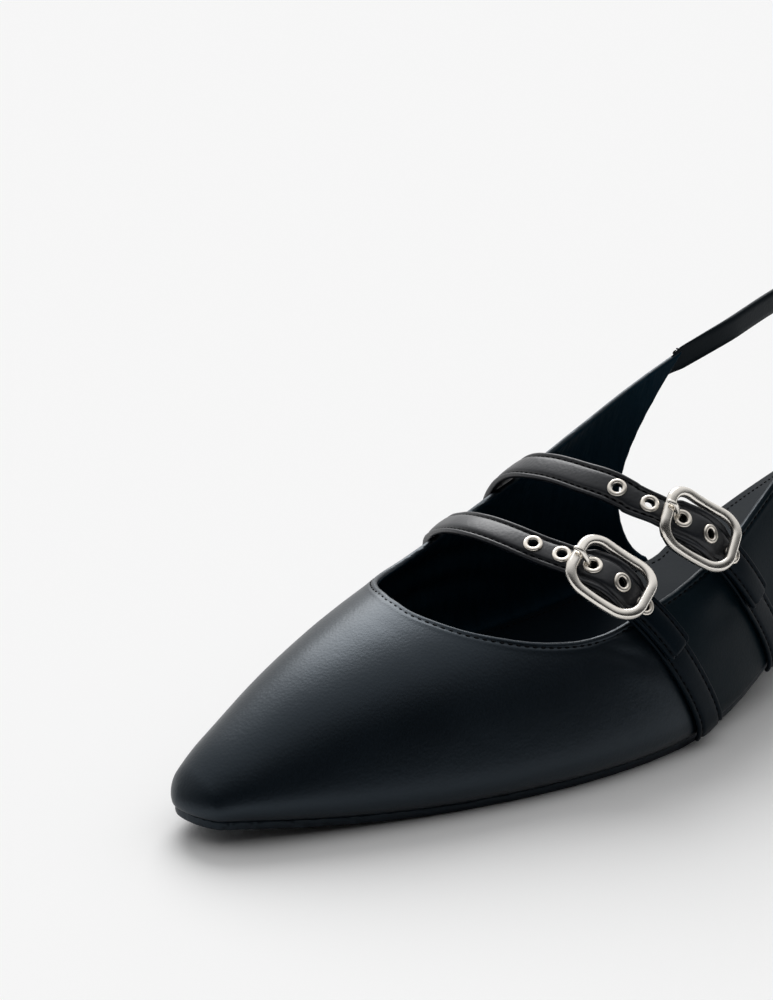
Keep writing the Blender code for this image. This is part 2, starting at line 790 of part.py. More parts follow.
def cut_holes(strap, path):
    """The holes through the strap, one under each eyelet."""
    for number, distance in enumerate(eyelet_distances()):
        middle, forward, side, up = on_strap(path, distance, STRAP_THICKNESS / 2)
        rings = []
        for level in (-2 * STRAP_THICKNESS, 2 * STRAP_THICKNESS):
            ring = []
            for i in range(12):
                turn = 2 * pi * (i + 0.5) / 12
                out = cos(turn) * forward + sin(turn) * side
                ring.append(middle + up * level + out * EYELET_BORE / 2)
            rings.append(ring)
        cutter = loft(f"{strap.name}_cutter_{number}", rings, strap.active_material)
        change = strap.modifiers.new("hole", "BOOLEAN")
        change.operation = "DIFFERENCE"
        change.object = cutter
        cutter.hide_render = True
        cutter.display_type = "WIRE"


def sling_place(round_share, across, level):
    """Point of the sling: -1 outer end, 0 back of the heel, 1 inner end."""
    across = np.asarray(across, float)

    def middle(at):
        at = np.asarray(at, float)
        outer = at < 0
        wing = np.where(outer, OUTER_RIBS[-1][1], INNER_RIBS[-1][1])
        start = wing - SLING_TUCK / SHOE_LENGTH
        along = 1 - (1 - start) * at * at
        height = INSTEP_HEIGHT * smooth(SLING_HEIGHTS, 1, at)
        crest = INSTEP_HEIGHT * smooth(SECTIONS, 3, along)
        lean = np.arcsin(np.clip(height / crest, 0, 1))
        return along, np.where(outer, lean, pi - lean), outer

    def spot(at, change=0.0):
        along, angle, outer = middle(at)
        angle = angle + np.where(outer, change, -change)
        return last_surface(along, angle)

    step = 1e-3
    at = np.asarray(round_share, float)
    forward = unit(spot(at + step) - spot(at - step))
    raised = unit(spot(at, 1e-3) - spot(at, -1e-3))
    out = unit(np.cross(forward, raised))
    raised = unit(np.cross(out, forward))
    return spot(at) + raised * across[..., None] + out * np.asarray(level)[..., None]


def build_sling(mat):
    """A strap round the heel, its ends sewn inside the wings."""
    at = np.linspace(-1, 1, 49)
    face = -UPPER_WALL - CLEARANCE
    back = face - SLING_THICKNESS
    half = SLING_WIDTH / 2
    rings = []
    for across, level in ((-half, face), (half, face), (half, back), (-half, back)):
        rings.append(sling_place(at, np.full(49, across), np.full(49, level)))
    return loft("sling_strap", np.stack(rings, 1), mat)


for old in list(bpy.data.objects):
    bpy.data.objects.remove(old)

shoe = bpy.data.objects.new("slingback_pump", None)
bpy.context.scene.collection.objects.link(shoe)

black_leather = material("black_leather", (0.012, 0.012, 0.015), 0.35)
strap_leather = material("strap_leather", (0.012, 0.012, 0.015), 0.38)
insole_leather = material("insole_leather", (0.10, 0.085, 0.095), 0.55)
sole_leather = material("sole_leather", (0.02, 0.018, 0.018), 0.6)
heel_cover = material("heel_cover", (0.012, 0.012, 0.014), 0.35)
heel_rubber = material("heel_rubber", (0.02, 0.02, 0.02), 0.75)
silver_metal = material("silver_metal", (0.75, 0.74, 0.72), 0.18, 1.0)
eyelet_metal = material("eyelet_metal", (0.80, 0.79, 0.76), 0.25, 1.0)

build_outsole(sole_leather)
build_insole(insole_leather)
build_upper(black_leather)
build_heel(heel_cover)
build_top_piece(heel_rubber)
build_sling(strap_leather)

for which in ("front", "rear"):
    path = StrapPath(which)
    strap = build_strap(path, f"strap_{which}", strap_leather)
    cut_holes(strap, path)
    build_band(path, f"band_{which}", strap_leather)
    build_frame(path, f"buckle_frame_{which}", silver_metal)
    build_prong(path, f"prong_{which}", silver_metal)
    for number, distance in enumerate(eyelet_distances()):
        build_eyelet(path, distance, f"eyelet_{which}_{number + 1}", eyelet_metal)
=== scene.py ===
"""Looks of the slingback pump, a left shoe: fine leather, stitching, buckles and studio."""
from math import cos, pi, radians, sin

import bmesh
import bpy
import mathutils
import numpy as np
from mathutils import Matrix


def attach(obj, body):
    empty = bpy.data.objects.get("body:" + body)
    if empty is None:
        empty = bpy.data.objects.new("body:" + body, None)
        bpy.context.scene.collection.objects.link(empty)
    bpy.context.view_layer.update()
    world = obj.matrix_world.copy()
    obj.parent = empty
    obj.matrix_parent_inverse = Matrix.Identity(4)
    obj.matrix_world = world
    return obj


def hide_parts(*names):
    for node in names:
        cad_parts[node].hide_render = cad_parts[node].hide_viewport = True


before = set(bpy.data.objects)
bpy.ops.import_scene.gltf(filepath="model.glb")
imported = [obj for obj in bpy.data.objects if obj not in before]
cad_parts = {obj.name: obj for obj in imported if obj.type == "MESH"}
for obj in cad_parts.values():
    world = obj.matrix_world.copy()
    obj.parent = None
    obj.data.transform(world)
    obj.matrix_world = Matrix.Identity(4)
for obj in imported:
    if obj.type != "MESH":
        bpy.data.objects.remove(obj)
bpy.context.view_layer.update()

# Sizes of the last and the sole
SHOE_LENGTH = 0.262
BALL_WIDTH = 0.076
INSTEP_HEIGHT = 0.0628
HEEL_HEIGHT = 0.026
TOE_SPRING = 0.0045
TOE_ROUNDING = 0.0047
HEEL_ROUNDING = 0.0197
FEATHER_BULGE = 0.0018
BULGE_HEIGHT = 0.005
BULGE_START = 0.013
TOE_BULGE = 0.3
OUTSOLE_THICKNESS = 0.0022
OUTSOLE_INSET = 0.0006
INSOLE_THICKNESS = 0.002
HEEL_LENGTH = 0.052
HEEL_INSET = 0.001
HEEL_TAPER = 0.004
TOP_PIECE_THICKNESS = 0.005

# Sizes of the upper, the sling and the straps
UPPER_WALL = 0.0016
SLING_WIDTH = 0.0069
SLING_THICKNESS = 0.0015
SLING_TUCK = 0.005
STRAP_WIDTH = 0.0079
STRAP_THICKNESS = 0.0017
BAND_WIDTH = 0.0078
BAND_FLARE = 0.0012
BAND_THICKNESS = 0.0014
STRAP_GAP = 0.0006
STRAP_TAIL = 0.0225
SOLE_MARGIN = 0.0011

# Sizes of the metal pieces
FRAME_LENGTH = 0.0184
FRAME_WIDTH = 0.0162
FRAME_BAR = 0.0023
FRAME_CORNER = 0.0054
FRAME_BOW = 0.0018
HINGE_BAR = 0.0014
HINGE_DROP = 0.0011
PRONG_THICKNESS = 0.0012
EYELET_WIDTH = 0.0045
EYELET_BORE = 0.0023
EYELET_COUNT = 5
EYELET_PITCH = 0.0068
PRONG_REACH = 0.0048
CLEARANCE = 0.0003
PRONG_HOLE = PRONG_REACH - FRAME_LENGTH / 2.0
FRAME_REACH = FRAME_LENGTH / 2 - FRAME_BAR / 2

# Sections of the last: share of the length, outer and inner half width and
# sideways shift of the crest as shares of the ball width, crest as a share of
# the instep height, and how full the shoulder is in width and in height
SECTIONS = (
    # along, outer, inner, crest, shift, full_width, full_height
    (0.00, 0.105, 0.070, 0.070, 0.000, 0.00, 0.00),
    (0.04, 0.165, 0.121, 0.204, 0.000, 0.05, 0.05),
    (0.10, 0.257, 0.212, 0.360, -0.007, 0.10, 0.10),
    (0.18, 0.366, 0.312, 0.505, -0.013, 0.15, 0.10),
    (0.26, 0.455, 0.389, 0.605, -0.026, 0.15, 0.05),
    (0.34, 0.512, 0.442, 0.718, -0.040, 0.12, 0.00),
    (0.42, 0.526, 0.461, 0.839, -0.053, 0.10, 0.00),
    (0.50, 0.484, 0.429, 0.984, -0.053, 0.10, 0.00),
    (0.58, 0.411, 0.366, 1.190, -0.053, 0.12, 0.00),
    (0.68, 0.345, 0.303, 1.480, -0.026, 0.15, 0.00),
    (0.78, 0.342, 0.313, 1.690, 0.000, 0.15, 0.00),
    (0.88, 0.353, 0.345, 1.770, 0.000, 0.10, 0.00),
    (1.00, 0.350, 0.350, 1.770, 0.000, 0.10, 0.00),
)

# Bottom of the last: share of the length, shares of the toe spring and heel
SOLE_LINE = (
    # along, spring, rise
    (0.00, 1.00, 0.00),
    (0.08, 0.42, 0.00),
    (0.20, 0.00, 0.00),
    (0.30, 0.00, 0.00),
    (0.44, 0.00, 0.00),
    (0.52, 0.00, 0.10),
    (0.62, 0.00, 0.36),
    (0.72, 0.00, 0.66),
    (0.82, 0.00, 0.88),
    (0.92, 0.00, 0.97),
    (1.00, 0.00, 1.00),
)

# Upper's ribs, from the toe (0) to the end of the wing (1): where each meets
# the topline, as a share of the length and an angle up the side of the last,
# and how far the rib bows back between the sole and the topline
OUTER_RIBS = (
    # rib, along, angle, bow
    (0.00, 0.228, 92.0, 0.000),
    (0.10, 0.227, 78.0, 0.000),
    (0.22, 0.247, 61.0, 0.000),
    (0.32, 0.279, 49.5, 0.000),
    (0.42, 0.313, 42.5, 0.000),
    (0.52, 0.351, 38.5, 0.000),
    (0.64, 0.414, 37.5, 0.004),
    (0.75, 0.478, 36.0, 0.008),
    (0.86, 0.549, 33.5, 0.012),
    (0.95, 0.615, 32.5, 0.015),
    (1.00, 0.652, 33.0, 0.016),
)
INNER_RIBS = (
    # rib, along, angle, bow
    (0.00, 0.228, 92.0, 0.000),
    (0.10, 0.238, 106.0, 0.000),
    (0.22, 0.262, 120.0, 0.000),
    (0.32, 0.295, 127.5, 0.000),
    (0.42, 0.335, 129.0, 0.000),
    (0.52, 0.375, 127.5, 0.003),
    (0.64, 0.430, 125.0, 0.006),
    (0.75, 0.490, 124.0, 0.010),
    (0.86, 0.553, 129.8, 0.015),
    (0.95, 0.615, 135.8, 0.020),
    (1.00, 0.650, 138.9, 0.021),
)
WING_END = 0.637
INSOLE_STEP = 0.004
INSOLE_RAMP = 0.020

# Paths of the straps round the last: angle from the outer sole edge over the
# instep to the inner one, and where each strap crosses, as shares of the length
STRAP_PATHS = (
    # angle, front, rear
    (0.0, 0.455, 0.577),
    (10.0, 0.441, 0.556),
    (20.0, 0.425, 0.533),
    (36.0, 0.399, 0.500),
    (50.0, 0.376, 0.467),
    (62.0, 0.356, 0.443),
    (74.0, 0.341, 0.429),
    (92.0, 0.334, 0.422),
    (112.0, 0.343, 0.427),
    (132.0, 0.361, 0.438),
    (155.0, 0.384, 0.452),
    (180.0, 0.400, 0.462),
)
BUCKLE_ANGLES = {"front": 50.0, "rear": 45.6}

# Length of each buckle and of its row of holes against the named sizes
BUCKLE_STRETCH = {"front": 0.99, "rear": 1.09}

# Tilt of each strap's face towards the toe, where it spans the opening
STRAP_TILTS = (
    # angle, front, rear
    (0.0, 0.0, 0.0),
    (56.0, 0.0, 0.0),
    (57.0, 0.0, 0.0),
    (64.0, 2.0, 12.0),
    (72.0, 3.0, 18.0),
    (82.0, 3.0, 14.0),
    (98.0, 3.0, 12.0),
    (122.0, 0.0, 0.0),
    (123.0, 0.0, 0.0),
    (180.0, 0.0, 0.0),
)

# Rise of each strap over the last where it spans the opening, as shares of its width
STRAP_RISES = (
    # angle, front, rear
    (0.0, 0.00, 0.00),
    (46.0, 0.00, 0.00),
    (47.0, 0.00, 0.00),
    (58.0, 0.00, 0.20),
    (68.0, 0.00, 0.36),
    (80.0, 0.00, 0.18),
    (95.0, -0.10, 0.03),
    (105.0, -0.18, -0.02),
    (115.0, -0.20, -0.05),
    (124.0, -0.12, -0.04),
    (134.0, 0.00, 0.00),
    (135.0, 0.00, 0.00),
    (180.0, 0.00, 0.00),
)

# Height of the sling over the last's bottom, as shares of the instep height,
# from the end of the outer wing round the heel to the end of the inner wing
SLING_HEIGHTS = (
    # round, height
    (-1.0, 0.690),
    (-0.6, 0.745),
    (0.0, 0.800),
    (0.6, 0.885),
    (0.8, 0.917),
    (0.93, 0.913),
    (1.0, 0.897),
)

ORIGIN_FROM_TOE = SHOE_LENGTH - HEEL_LENGTH / 2.0


def column(table, index):
    """One column of a table as an array."""
    return np.array([row[index] for row in table])


def smooth(table, index, at):
    """Value of a column at places between the rows, without corners."""
    xs = column(table, 0)
    ys = column(table, index)
    slopes = np.gradient(ys, xs)
    slopes[0] = (ys[1] - ys[0]) / (xs[1] - xs[0])
    slopes[-1] = (ys[-1] - ys[-2]) / (xs[-1] - xs[-2])
    at = np.asarray(at, float)
    i = np.clip(np.searchsorted(xs, at, side="right") - 1, 0, len(xs) - 2)
    step = xs[i + 1] - xs[i]
    s = np.clip((at - xs[i]) / step, 0.0, 1.0)
    start = ys[i] * (1 + 2 * s) * (1 - s) ** 2 + step * slopes[i] * s * (1 - s) ** 2
    end = ys[i + 1] * s * s * (3 - 2 * s) + step * slopes[i + 1] * s * s * (s - 1)
    return start + end


def quarter_round(share):
    """Height of a quarter circle over a share from 0 to 1."""
    share = np.clip(share, 0.0, 1.0)
    return np.sqrt(1 - (1 - share) ** 2)


def eased(share):
    """Soft start and end of a share, held between 0 and 1."""
    share = np.clip(share, 0.0, 1.0)
    return share * share * (3 - 2 * share)


def toe_round(along):
    return quarter_round(along * SHOE_LENGTH / TOE_ROUNDING)


def heel_round(along):
    return quarter_round((1 - along) * SHOE_LENGTH / HEEL_ROUNDING)


def half_width(along, outer):
    """Half width of the last's bottom on the outer or the inner side."""
    share = np.where(outer, smooth(SECTIONS, 1, along), smooth(SECTIONS, 2, along))
    return BALL_WIDTH * share * toe_round(along) * heel_round(along)


def last_bottom(along):
    """Height of the last's bottom over the floor."""
    spring = TOE_SPRING * np.maximum(smooth(SOLE_LINE, 1, along), 0.0)
    rise = HEEL_HEIGHT * np.maximum(smooth(SOLE_LINE, 2, along), 0.0)
    return OUTSOLE_THICKNESS + CLEARANCE + spring + rise


def last_surface(along, angle):
    """Point of the last: angle 0 is the outer sole edge, pi the inner one."""
    c = np.cos(angle)
    s = np.sin(angle)
    width = half_width(along, c >= 0)
    full_width = smooth(SECTIONS, 5, along)
    full_height = smooth(SECTIONS, 6, along)
    crest = INSTEP_HEIGHT * smooth(SECTIONS, 3, along) * toe_round(along)
    height = crest * (s + full_height * s * c * c)
    shift = BALL_WIDTH * smooth(SECTIONS, 4, along)
    x = width * (c + full_width * c * s * s) + shift * s * s
    begun = eased(along * SHOE_LENGTH / BULGE_START)
    bulge = FEATHER_BULGE * height / BULGE_HEIGHT * np.exp(1 - height / BULGE_HEIGHT)
    bulge = bulge * (TOE_BULGE + (1 - TOE_BULGE) * begun)
    root = np.sqrt(np.maximum(along, 1e-12))
    across = 2 * SHOE_LENGTH * root * c * root / np.maximum(width, 1e-6)
    norm = np.sqrt(across * across + 1)
    y = along * SHOE_LENGTH - ORIGIN_FROM_TOE - bulge / norm
    z = last_bottom(along) + height
    return np.stack([x + bulge * across / norm, y, z], -1)


def chart(p, q):
    """Point of the last in chart coordinates, which are even round the toe."""
    along = p * p + q * q
    return last_surface(along, np.arctan2(q, p))


def unit(v):
    return v / np.maximum(np.linalg.norm(v, axis=-1, keepdims=True), 1e-12)


def chart_normal(p, q):
    """Outward direction of the last at a chart point."""
    step = 1e-4
    along_p = chart(p + step, q) - chart(p - step, q)
    along_q = chart(p, q + step) - chart(p, np.maximum(q - step, 0.0))
    return unit(np.cross(along_p, along_q))


def rib_points(rib, row):
    """Chart coordinates on the upper; rib runs -1 (outer wing) to 1 (inner wing)."""
    rib, row = np.broadcast_arrays(np.asarray(rib, float), np.asarray(row, float))
    size = np.abs(rib)
    outer = rib < 0
    along = np.where(outer, smooth(OUTER_RIBS, 1, size), smooth(INNER_RIBS, 1, size))
    angle = np.where(outer, smooth(OUTER_RIBS, 2, size), smooth(INNER_RIBS, 2, size))
    bow = np.where(outer, smooth(OUTER_RIBS, 3, size), smooth(INNER_RIBS, 3, size))
    start = -rib * np.sqrt(WING_END)
    p_top = np.sqrt(along) * np.cos(np.radians(angle))
    q_top = np.sqrt(along) * np.sin(np.radians(angle))
    side = np.where(outer, 1.0, -1.0)
    p = start + (p_top - start) * row + side * bow * 4 * row * (1 - row)
    return p, q_top * row


def outline(alongs, inset):
    """Plan points down the outer and back up the inner side, moved inward."""
    sides = []
    for outer, sign in ((True, 1.0), (False, -1.0)):
        x = sign * half_width(alongs, outer)
        y = alongs * SHOE_LENGTH
        step = np.stack([np.gradient(x), np.gradient(y)], -1)
        step[0] = (sign, 0.0)
        step[-1] = (-sign, 0.0)
        step = unit(step)
        move = np.stack([-step[:, 1], step[:, 0]], -1) * sign
        sides.append(np.stack([x, y], -1) + move * inset[:, None])
    return sides


def heel_loop(narrowing):
    """Plan loop of the heel, narrowed all round."""
    front = 1 - HEEL_LENGTH / SHOE_LENGTH
    turn = np.linspace(0, pi / 2, 12)
    alongs = front + (1 - front) * np.sin(turn)
    inset = np.full(len(alongs), HEEL_INSET)
    outer, inner = outline(alongs, inset)
    outer[0, 0] = outer[1, 0]
    inner[0, 0] = inner[1, 0]
    outer[0, 1] = front * SHOE_LENGTH
    inner[0, 1] = front * SHOE_LENGTH
    tip = outer[-1].copy()
    tip[0] = 0.0
    loop = np.concatenate([outer[:-1], tip[None], inner[-2::-1]])
    loop[:, 1] -= ORIGIN_FROM_TOE
    half = np.array([np.ptp(loop[:, 0]), np.ptp(loop[:, 1])]) / 2
    return loop * (1 - narrowing / half)


def walked_along(points):
    """Distance walked to each of a run of points."""
    steps = np.linalg.norm(np.diff(points, axis=0), axis=1)
    return np.concatenate([[0.0], np.cumsum(steps)])


def read_at(at, xs, values):
    """Rows of values read between the places xs."""
    return np.stack([np.interp(at, xs, line) for line in values.T], -1)


# Points to a strap's path, and the step over which its direction is read
STRAP_STEP = 0.0008
PATH_POINTS = 721


class StrapPath:
    """Places on the last along a strap: distance from the buckle, outward +."""

    def __init__(self, which):
        index = {"front": 1, "rear": 2}[which]
        angles = np.linspace(0.0, 180.0, PATH_POINTS)
        alongs = smooth(STRAP_PATHS, index, angles)
        p = np.sqrt(alongs) * np.cos(np.radians(angles))
        q = np.sqrt(alongs) * np.sin(np.radians(angles))
        self.points = chart(p, q)
        self.normals = chart_normal(p, q)
        self.tilts = np.radians(smooth(STRAP_TILTS, index, angles))
        self.rises = STRAP_WIDTH * smooth(STRAP_RISES, index, angles)
        low = self.points[:, 2] - last_bottom(alongs)
        self.points = self.points + self.normals * self.rises[:, None]
        walked = walked_along(self.points)
        centre = np.interp(BUCKLE_ANGLES[which], angles, walked)
        self.distance = (centre - walked) / BUCKLE_STRETCH[which]
        self.outer_end = self.distance[np.argmax(low > SOLE_MARGIN)]
        last = len(low) - 1 - np.argmax(low[::-1] > SOLE_MARGIN)
        self.inner_end = self.distance[last]

    def read(self, values, distance):
        """Values of the path's points at places along it."""
        order = np.argsort(self.distance)
        return read_at(distance, self.distance[order], values[order])

    def frame(self, distance):
        """Point on the path, and its sideways and upward directions."""
        step = STRAP_STEP
        distance = np.asarray(distance, float)
        middle = self.read(self.points, distance)
        ahead = self.read(self.points, distance + step)
        back = self.read(self.points, distance - step)
        normal = unit(self.read(self.normals, distance))
        forward = unit(ahead - back)
        side = unit(np.cross(forward, normal))
        up = unit(np.cross(side, forward))
        tilt = self.read(self.tilts[:, None], distance)
        leaned = side * np.cos(tilt) - up * np.sin(tilt)
        return middle, leaned, up * np.cos(tilt) + side * np.sin(tilt)

    def place(self, distance, across, level):
        """Point at a distance along, across the strap and over the last."""
        middle, side, up = self.frame(distance)
        across = np.asarray(across, float)[..., None]
        level = np.asarray(level, float)[..., None]
        return middle + side * across + up * level

    def place_metal(self, distance, across, level):
        """The same for the buckle: one even curve along, and straight cross bars."""
        middle, side = self.frame(0.0)[:2]
        ends = self.place(np.array([-FRAME_REACH, FRAME_REACH]), 0.0, 0.0) - middle
        ends = ends - side * (ends @ side)[:, None]
        run = np.asarray(distance, float)[..., None] / FRAME_REACH
        slope = (ends[1] - ends[0]) / 2
        bend = (ends[1] + ends[0]) / 2
        line = middle + slope * run + bend * run * run
        out = unit(np.cross(side, slope + 2 * bend * run))
        across = np.asarray(across, float)[..., None]
        return line + out * np.asarray(level, float)[..., None] + side * across


def bar_level():
    """Height of the hinge bar's middle line over the last."""
    return CLEARANCE * 2 + BAND_THICKNESS + HINGE_BAR / 2


# Where the strap falls from the band to the last behind the buckle, as shares of the reach
FALL_START = 0.5
FALL_RUN = 1.6


def strap_level(distance):
    """Height of the strap's underside over the last."""
    distance = np.asarray(distance, float)
    on_band = CLEARANCE * 2 + BAND_THICKNESS
    on_bar = bar_level() + HINGE_BAR / 2 + CLEARANCE
    arch = 0.5 + 0.5 * np.cos(pi * np.clip(distance / FRAME_REACH, -1, 1))
    fall = eased((-distance / FRAME_REACH - FALL_START) / FALL_RUN)
    return on_band + (on_bar - on_band) * arch - (on_band - STRAP_GAP) * fall


def frame_level(distance):
    """Height of the buckle frame's middle line over the last."""
    return bar_level() + HINGE_DROP + FRAME_BOW * (distance / FRAME_REACH) ** 2


def on_strap(path, distance, height):
    """Place, forward, side and up on the strap, at a height over its underside."""
    step = 0.0015
    ahead = path.place(distance + step, 0.0, strap_level(distance + step) + height)
    back = path.place(distance - step, 0.0, strap_level(distance - step) + height)
    middle = path.place(distance, 0.0, strap_level(distance) + height)
    forward = unit(ahead - back)
    side = path.frame(distance)[1]
    return middle, forward, side, unit(np.cross(side, forward))


def eyelet_distances():
    """Places of the eyelets; the prong stands in the third."""
    numbers = np.arange(EYELET_COUNT) - 2
    return PRONG_HOLE + EYELET_PITCH * numbers


def sling_place(round_share, across, level):
    """Point of the sling: -1 outer end, 0 back of the heel, 1 inner end."""
    across = np.asarray(across, float)

    def middle(at):
        at = np.asarray(at, float)
        outer = at < 0
        wing = np.where(outer, OUTER_RIBS[-1][1], INNER_RIBS[-1][1])
        start = wing - SLING_TUCK / SHOE_LENGTH
        along = 1 - (1 - start) * at * at
        height = INSTEP_HEIGHT * smooth(SLING_HEIGHTS, 1, at)
        crest = INSTEP_HEIGHT * smooth(SECTIONS, 3, along)
        lean = np.arcsin(np.clip(height / crest, 0, 1))
        return along, np.where(outer, lean, pi - lean), outer

    def spot(at, change=0.0):
        along, angle, outer = middle(at)
        angle = angle + np.where(outer, change, -change)
        return last_surface(along, angle)

    step = 1e-3
    at = np.asarray(round_share, float)
    forward = unit(spot(at + step) - spot(at - step))
    raised = unit(spot(at, 1e-3) - spot(at, -1e-3))
    out = unit(np.cross(forward, raised))
    raised = unit(np.cross(out, forward))
    return spot(at) + raised * across[..., None] + out * np.asarray(level)[..., None]


# Sizes of the fine surface, which the solids leave out. First the upper's edge:
# place in from the edge, width and height of its fold, its sewn groove and its crown
SEAM_IN = 0.0014
SEAM_DEPTH = 0.00016
EDGE_FORMS = (
    (0.0006, 0.0006, 0.00012),
    (SEAM_IN, 0.00028, -SEAM_DEPTH),
    (SEAM_IN + 0.0007, 0.0006, 0.00006),
)
# Share of a rib at which the wings' free ends begin, over the sole
EDGE_START = 0.02
# A chart point that surely lies inside the edge: share of the rib, step down the row
INSIDE_RIB = 0.995
INSIDE_ROW = 0.02
# How far the edge rounds in, outside and inside, as shares of the wall
ROLL_REACH = 0.5
OUTER_ROLL = 0.5
INNER_ROLL = 0.35

# Soft creases of the upper: centre, direction, length, width and height in metres
CREASES = (
    ((0.0330, -0.1400, 0.0290), (0.3, 1.0, -0.5), 0.006, 0.0020, 0.00035),
    ((0.0345, -0.1385, 0.0255), (0.3, 1.0, -0.6), 0.007, 0.0022, -0.00035),
    ((0.0355, -0.1370, 0.0215), (0.25, 1.0, -0.7), 0.007, 0.0024, 0.00025),
    ((0.0330, -0.1085, 0.0330), (0.1, 1.0, 0.25), 0.008, 0.0030, 0.00022),
    ((0.0345, -0.1060, 0.0270), (0.1, 1.0, 0.1), 0.009, 0.0030, -0.00020),
)

# Slack folds of the lining: waves upward, sideways and along, how far they wander,
# their middle and spread along and upward, half their depth and their side
RIPPLE_UP = 620
RIPPLE_SIDE = 60
RIPPLE_ALONG = 55
RIPPLE_WANDER = 3
RIPPLE_MIDDLE = (-0.145, 0.024)
RIPPLE_SPREAD = (0.03, 0.012)
RIPPLE_HALF = 0.0005
RIPPLE_LIMIT = 0.005
LINING_FLAT = 0.006

# Stitches, and one stitch as shares of half its length and of its radius
STITCH_PITCH = 0.0019
STITCH_LENGTH = 0.00135
STITCH_RADIUS = 0.00023
STITCH_SINK = 0.9
STITCH_SIDES = 6
STITCH_SHAPE = ((-1.0, 0.15), (-0.8, 0.75), (-0.35, 1.0), (0.35, 1.0), (0.8, 0.75), (1.0, 0.15))

# Section of a strap, across and upward as shares of half its width and of its
# thickness: the folded edge, the sewn groove and the padded middle, then the underside
STRAP_TOP = (
    (1.00, 0.40), (1.005, 0.55), (0.985, 0.72), (0.945, 0.83), (0.895, 0.88), (0.845, 0.87),
    (0.80, 0.82), (0.765, 0.74), (0.735, 0.66), (0.71, 0.62), (0.685, 0.62), (0.655, 0.67),
    (0.62, 0.79), (0.57, 0.91), (0.48, 0.99), (0.32, 1.03), (0.16, 1.05), (0.0, 1.06),
)
STRAP_UNDER = ((-0.985, 0.18), (-0.93, 0.03), (-0.5, 0.0), (0.5, 0.0), (0.93, 0.03), (0.985, 0.18))
GROOVE_ACROSS = 0.698
GROOVE_LEVEL = 0.66

# The strap's soft tip: length and width left of its narrowing, length and height
# left of its rounding, then its swelling inside the buckle and where that fades
TIP_LENGTH = 0.22 * STRAP_WIDTH
TIP_WIDTH = 0.70
TIP_ROUND = 0.0009
TIP_HEIGHT = 0.35
TIP_PART = 0.003
STRAP_PUFF = 0.26
PUFF_START = -0.0075
PUFF_RISE = 0.0025
PUFF_END = 0.0080
PUFF_FALL = 0.0030
STRAP_STATIONS = 330
TIP_STATIONS = 16
HOLE_ROOM = 0.0001
HOLE_SIDES = 28
HOLE_ANGLE = 50

# Padded end of each band inside the frame: distance, half width as a share of the opening
PAD_SHAPE = (
    (-0.0078, 0.30), (-0.0074, 0.58), (-0.0066, 0.84), (-0.0052, 0.97), (-0.0030, 1.01), (0.0, 1.02),
    (0.0030, 1.01), (0.0052, 0.97), (0.0066, 0.84), (0.0076, 0.60), (0.0082, 0.30),
)
PAD_STATIONS = 60
PAD_COLUMNS = 33
PAD_GAP = 0.00025
PAD_SWELL = 0.0009
PAD_SWELL_AT = 0.82
PAD_SWELL_WIDTH = 0.13
PAD_WAVE = 0.0001
PAD_WAVES = 2600
PAD_SLANT = 5
PAD_FLAT = 0.6
PAD_FOOT = 0.0002
BAND_BODY = 0.93 * BAND_THICKNESS
BAND_STATIONS = 120

# Section of the buckle's bar, outward and upward as shares of half its width
BAR_SECTION = (
    (1.10, -0.30), (1.12, -0.05), (1.08, 0.18), (1.00, 0.34), (0.94, 0.42), (0.86, 0.60),
    (0.74, 0.74), (0.55, 0.82), (0.25, 0.87), (-0.10, 0.88), (-0.45, 0.84), (-0.72, 0.72),
    (-0.92, 0.50), (-1.03, 0.20), (-1.06, -0.15), (-0.98, -0.50), (-0.75, -0.74),
    (-0.30, -0.82), (0.30, -0.82), (0.78, -0.72), (1.00, -0.52),
)
CORNER_STEPS = 14
FRAME_POINTS = 160
BAR_POINTS = 12
BAR_SIDES = 16
BAR_SQUARE = 0.85

# The prong: its thickness along, as shares, its flatness and its soft end
PRONG_WIDTHS = (0.8, 0.9, 0.9, 0.9, 1.0, 1.12, 1.18, 1.02, 0.80)
PRONG_FLAT = 0.80
PRONG_STEPS = 8
PRONG_TIP = 0.35
PRONG_TIP_POINTS = 4

# Eyelets: depth of the barrel, its lip, height and underside of the rolled rim
BARREL_DEPTH = 0.0009
BARREL_LIP = 0.0001
RIM_HEIGHT = 0.00042
RIM_ROUND = 0.8
RIM_UNDER = 0.00022
RIM_LIFT = 0.00018
RIM_STEPS = 8
EYELET_SIDES = 40

# Soles and heel: rounding of the slabs' edges, the insole's sewn line, and the
# heel's narrowing as shares of its taper over shares of its height
OUTSOLE_EDGE = 0.0007
INSOLE_EDGE = 0.0009
UNDER_EDGE = 0.8
SOLE_STATIONS = 190
SOLE_COLUMNS = 60
EDGE_POINTS = 2400
INSOLE_SEAM = 0.0026
INSOLE_SEAM_RUN = (0.3, 0.985)
INSOLE_SEAM_LIFT = 0.00002
HEEL_SHARES = (0.0, 0.35, 0.7, 1.0)
HEEL_NARROWING = (1.0, 0.85, 0.5, 0.0)
HEEL_RINGS = 28
HEEL_POINTS = 160
TREAD_EDGE = 0.0004
TOP_PIECE_EDGE = 0.0003

# The sling's ends: skived share, reach of the narrowing, what is left of the width
# and of the thickness, and the drop of the inner end
SLING_POINTS = 460
SLING_SKIVE = 0.13
SLING_END = 0.002
SLING_NARROWING = 0.027
SLING_END_WIDTH = 0.62
SLING_END_DROP = 0.0005
SLING_END_THICKNESS = 0.25
SLING_END_DEPTH = 0.30
SLING_DROP = 0.0012
SLING_DROP_START = 0.55
SLING_DROP_RUN = 0.4


def hump(value, centre, width):
    """Smooth rise to 1 at a centre, gone a few widths away."""
    return np.exp(-(((value - centre) / width) ** 2))


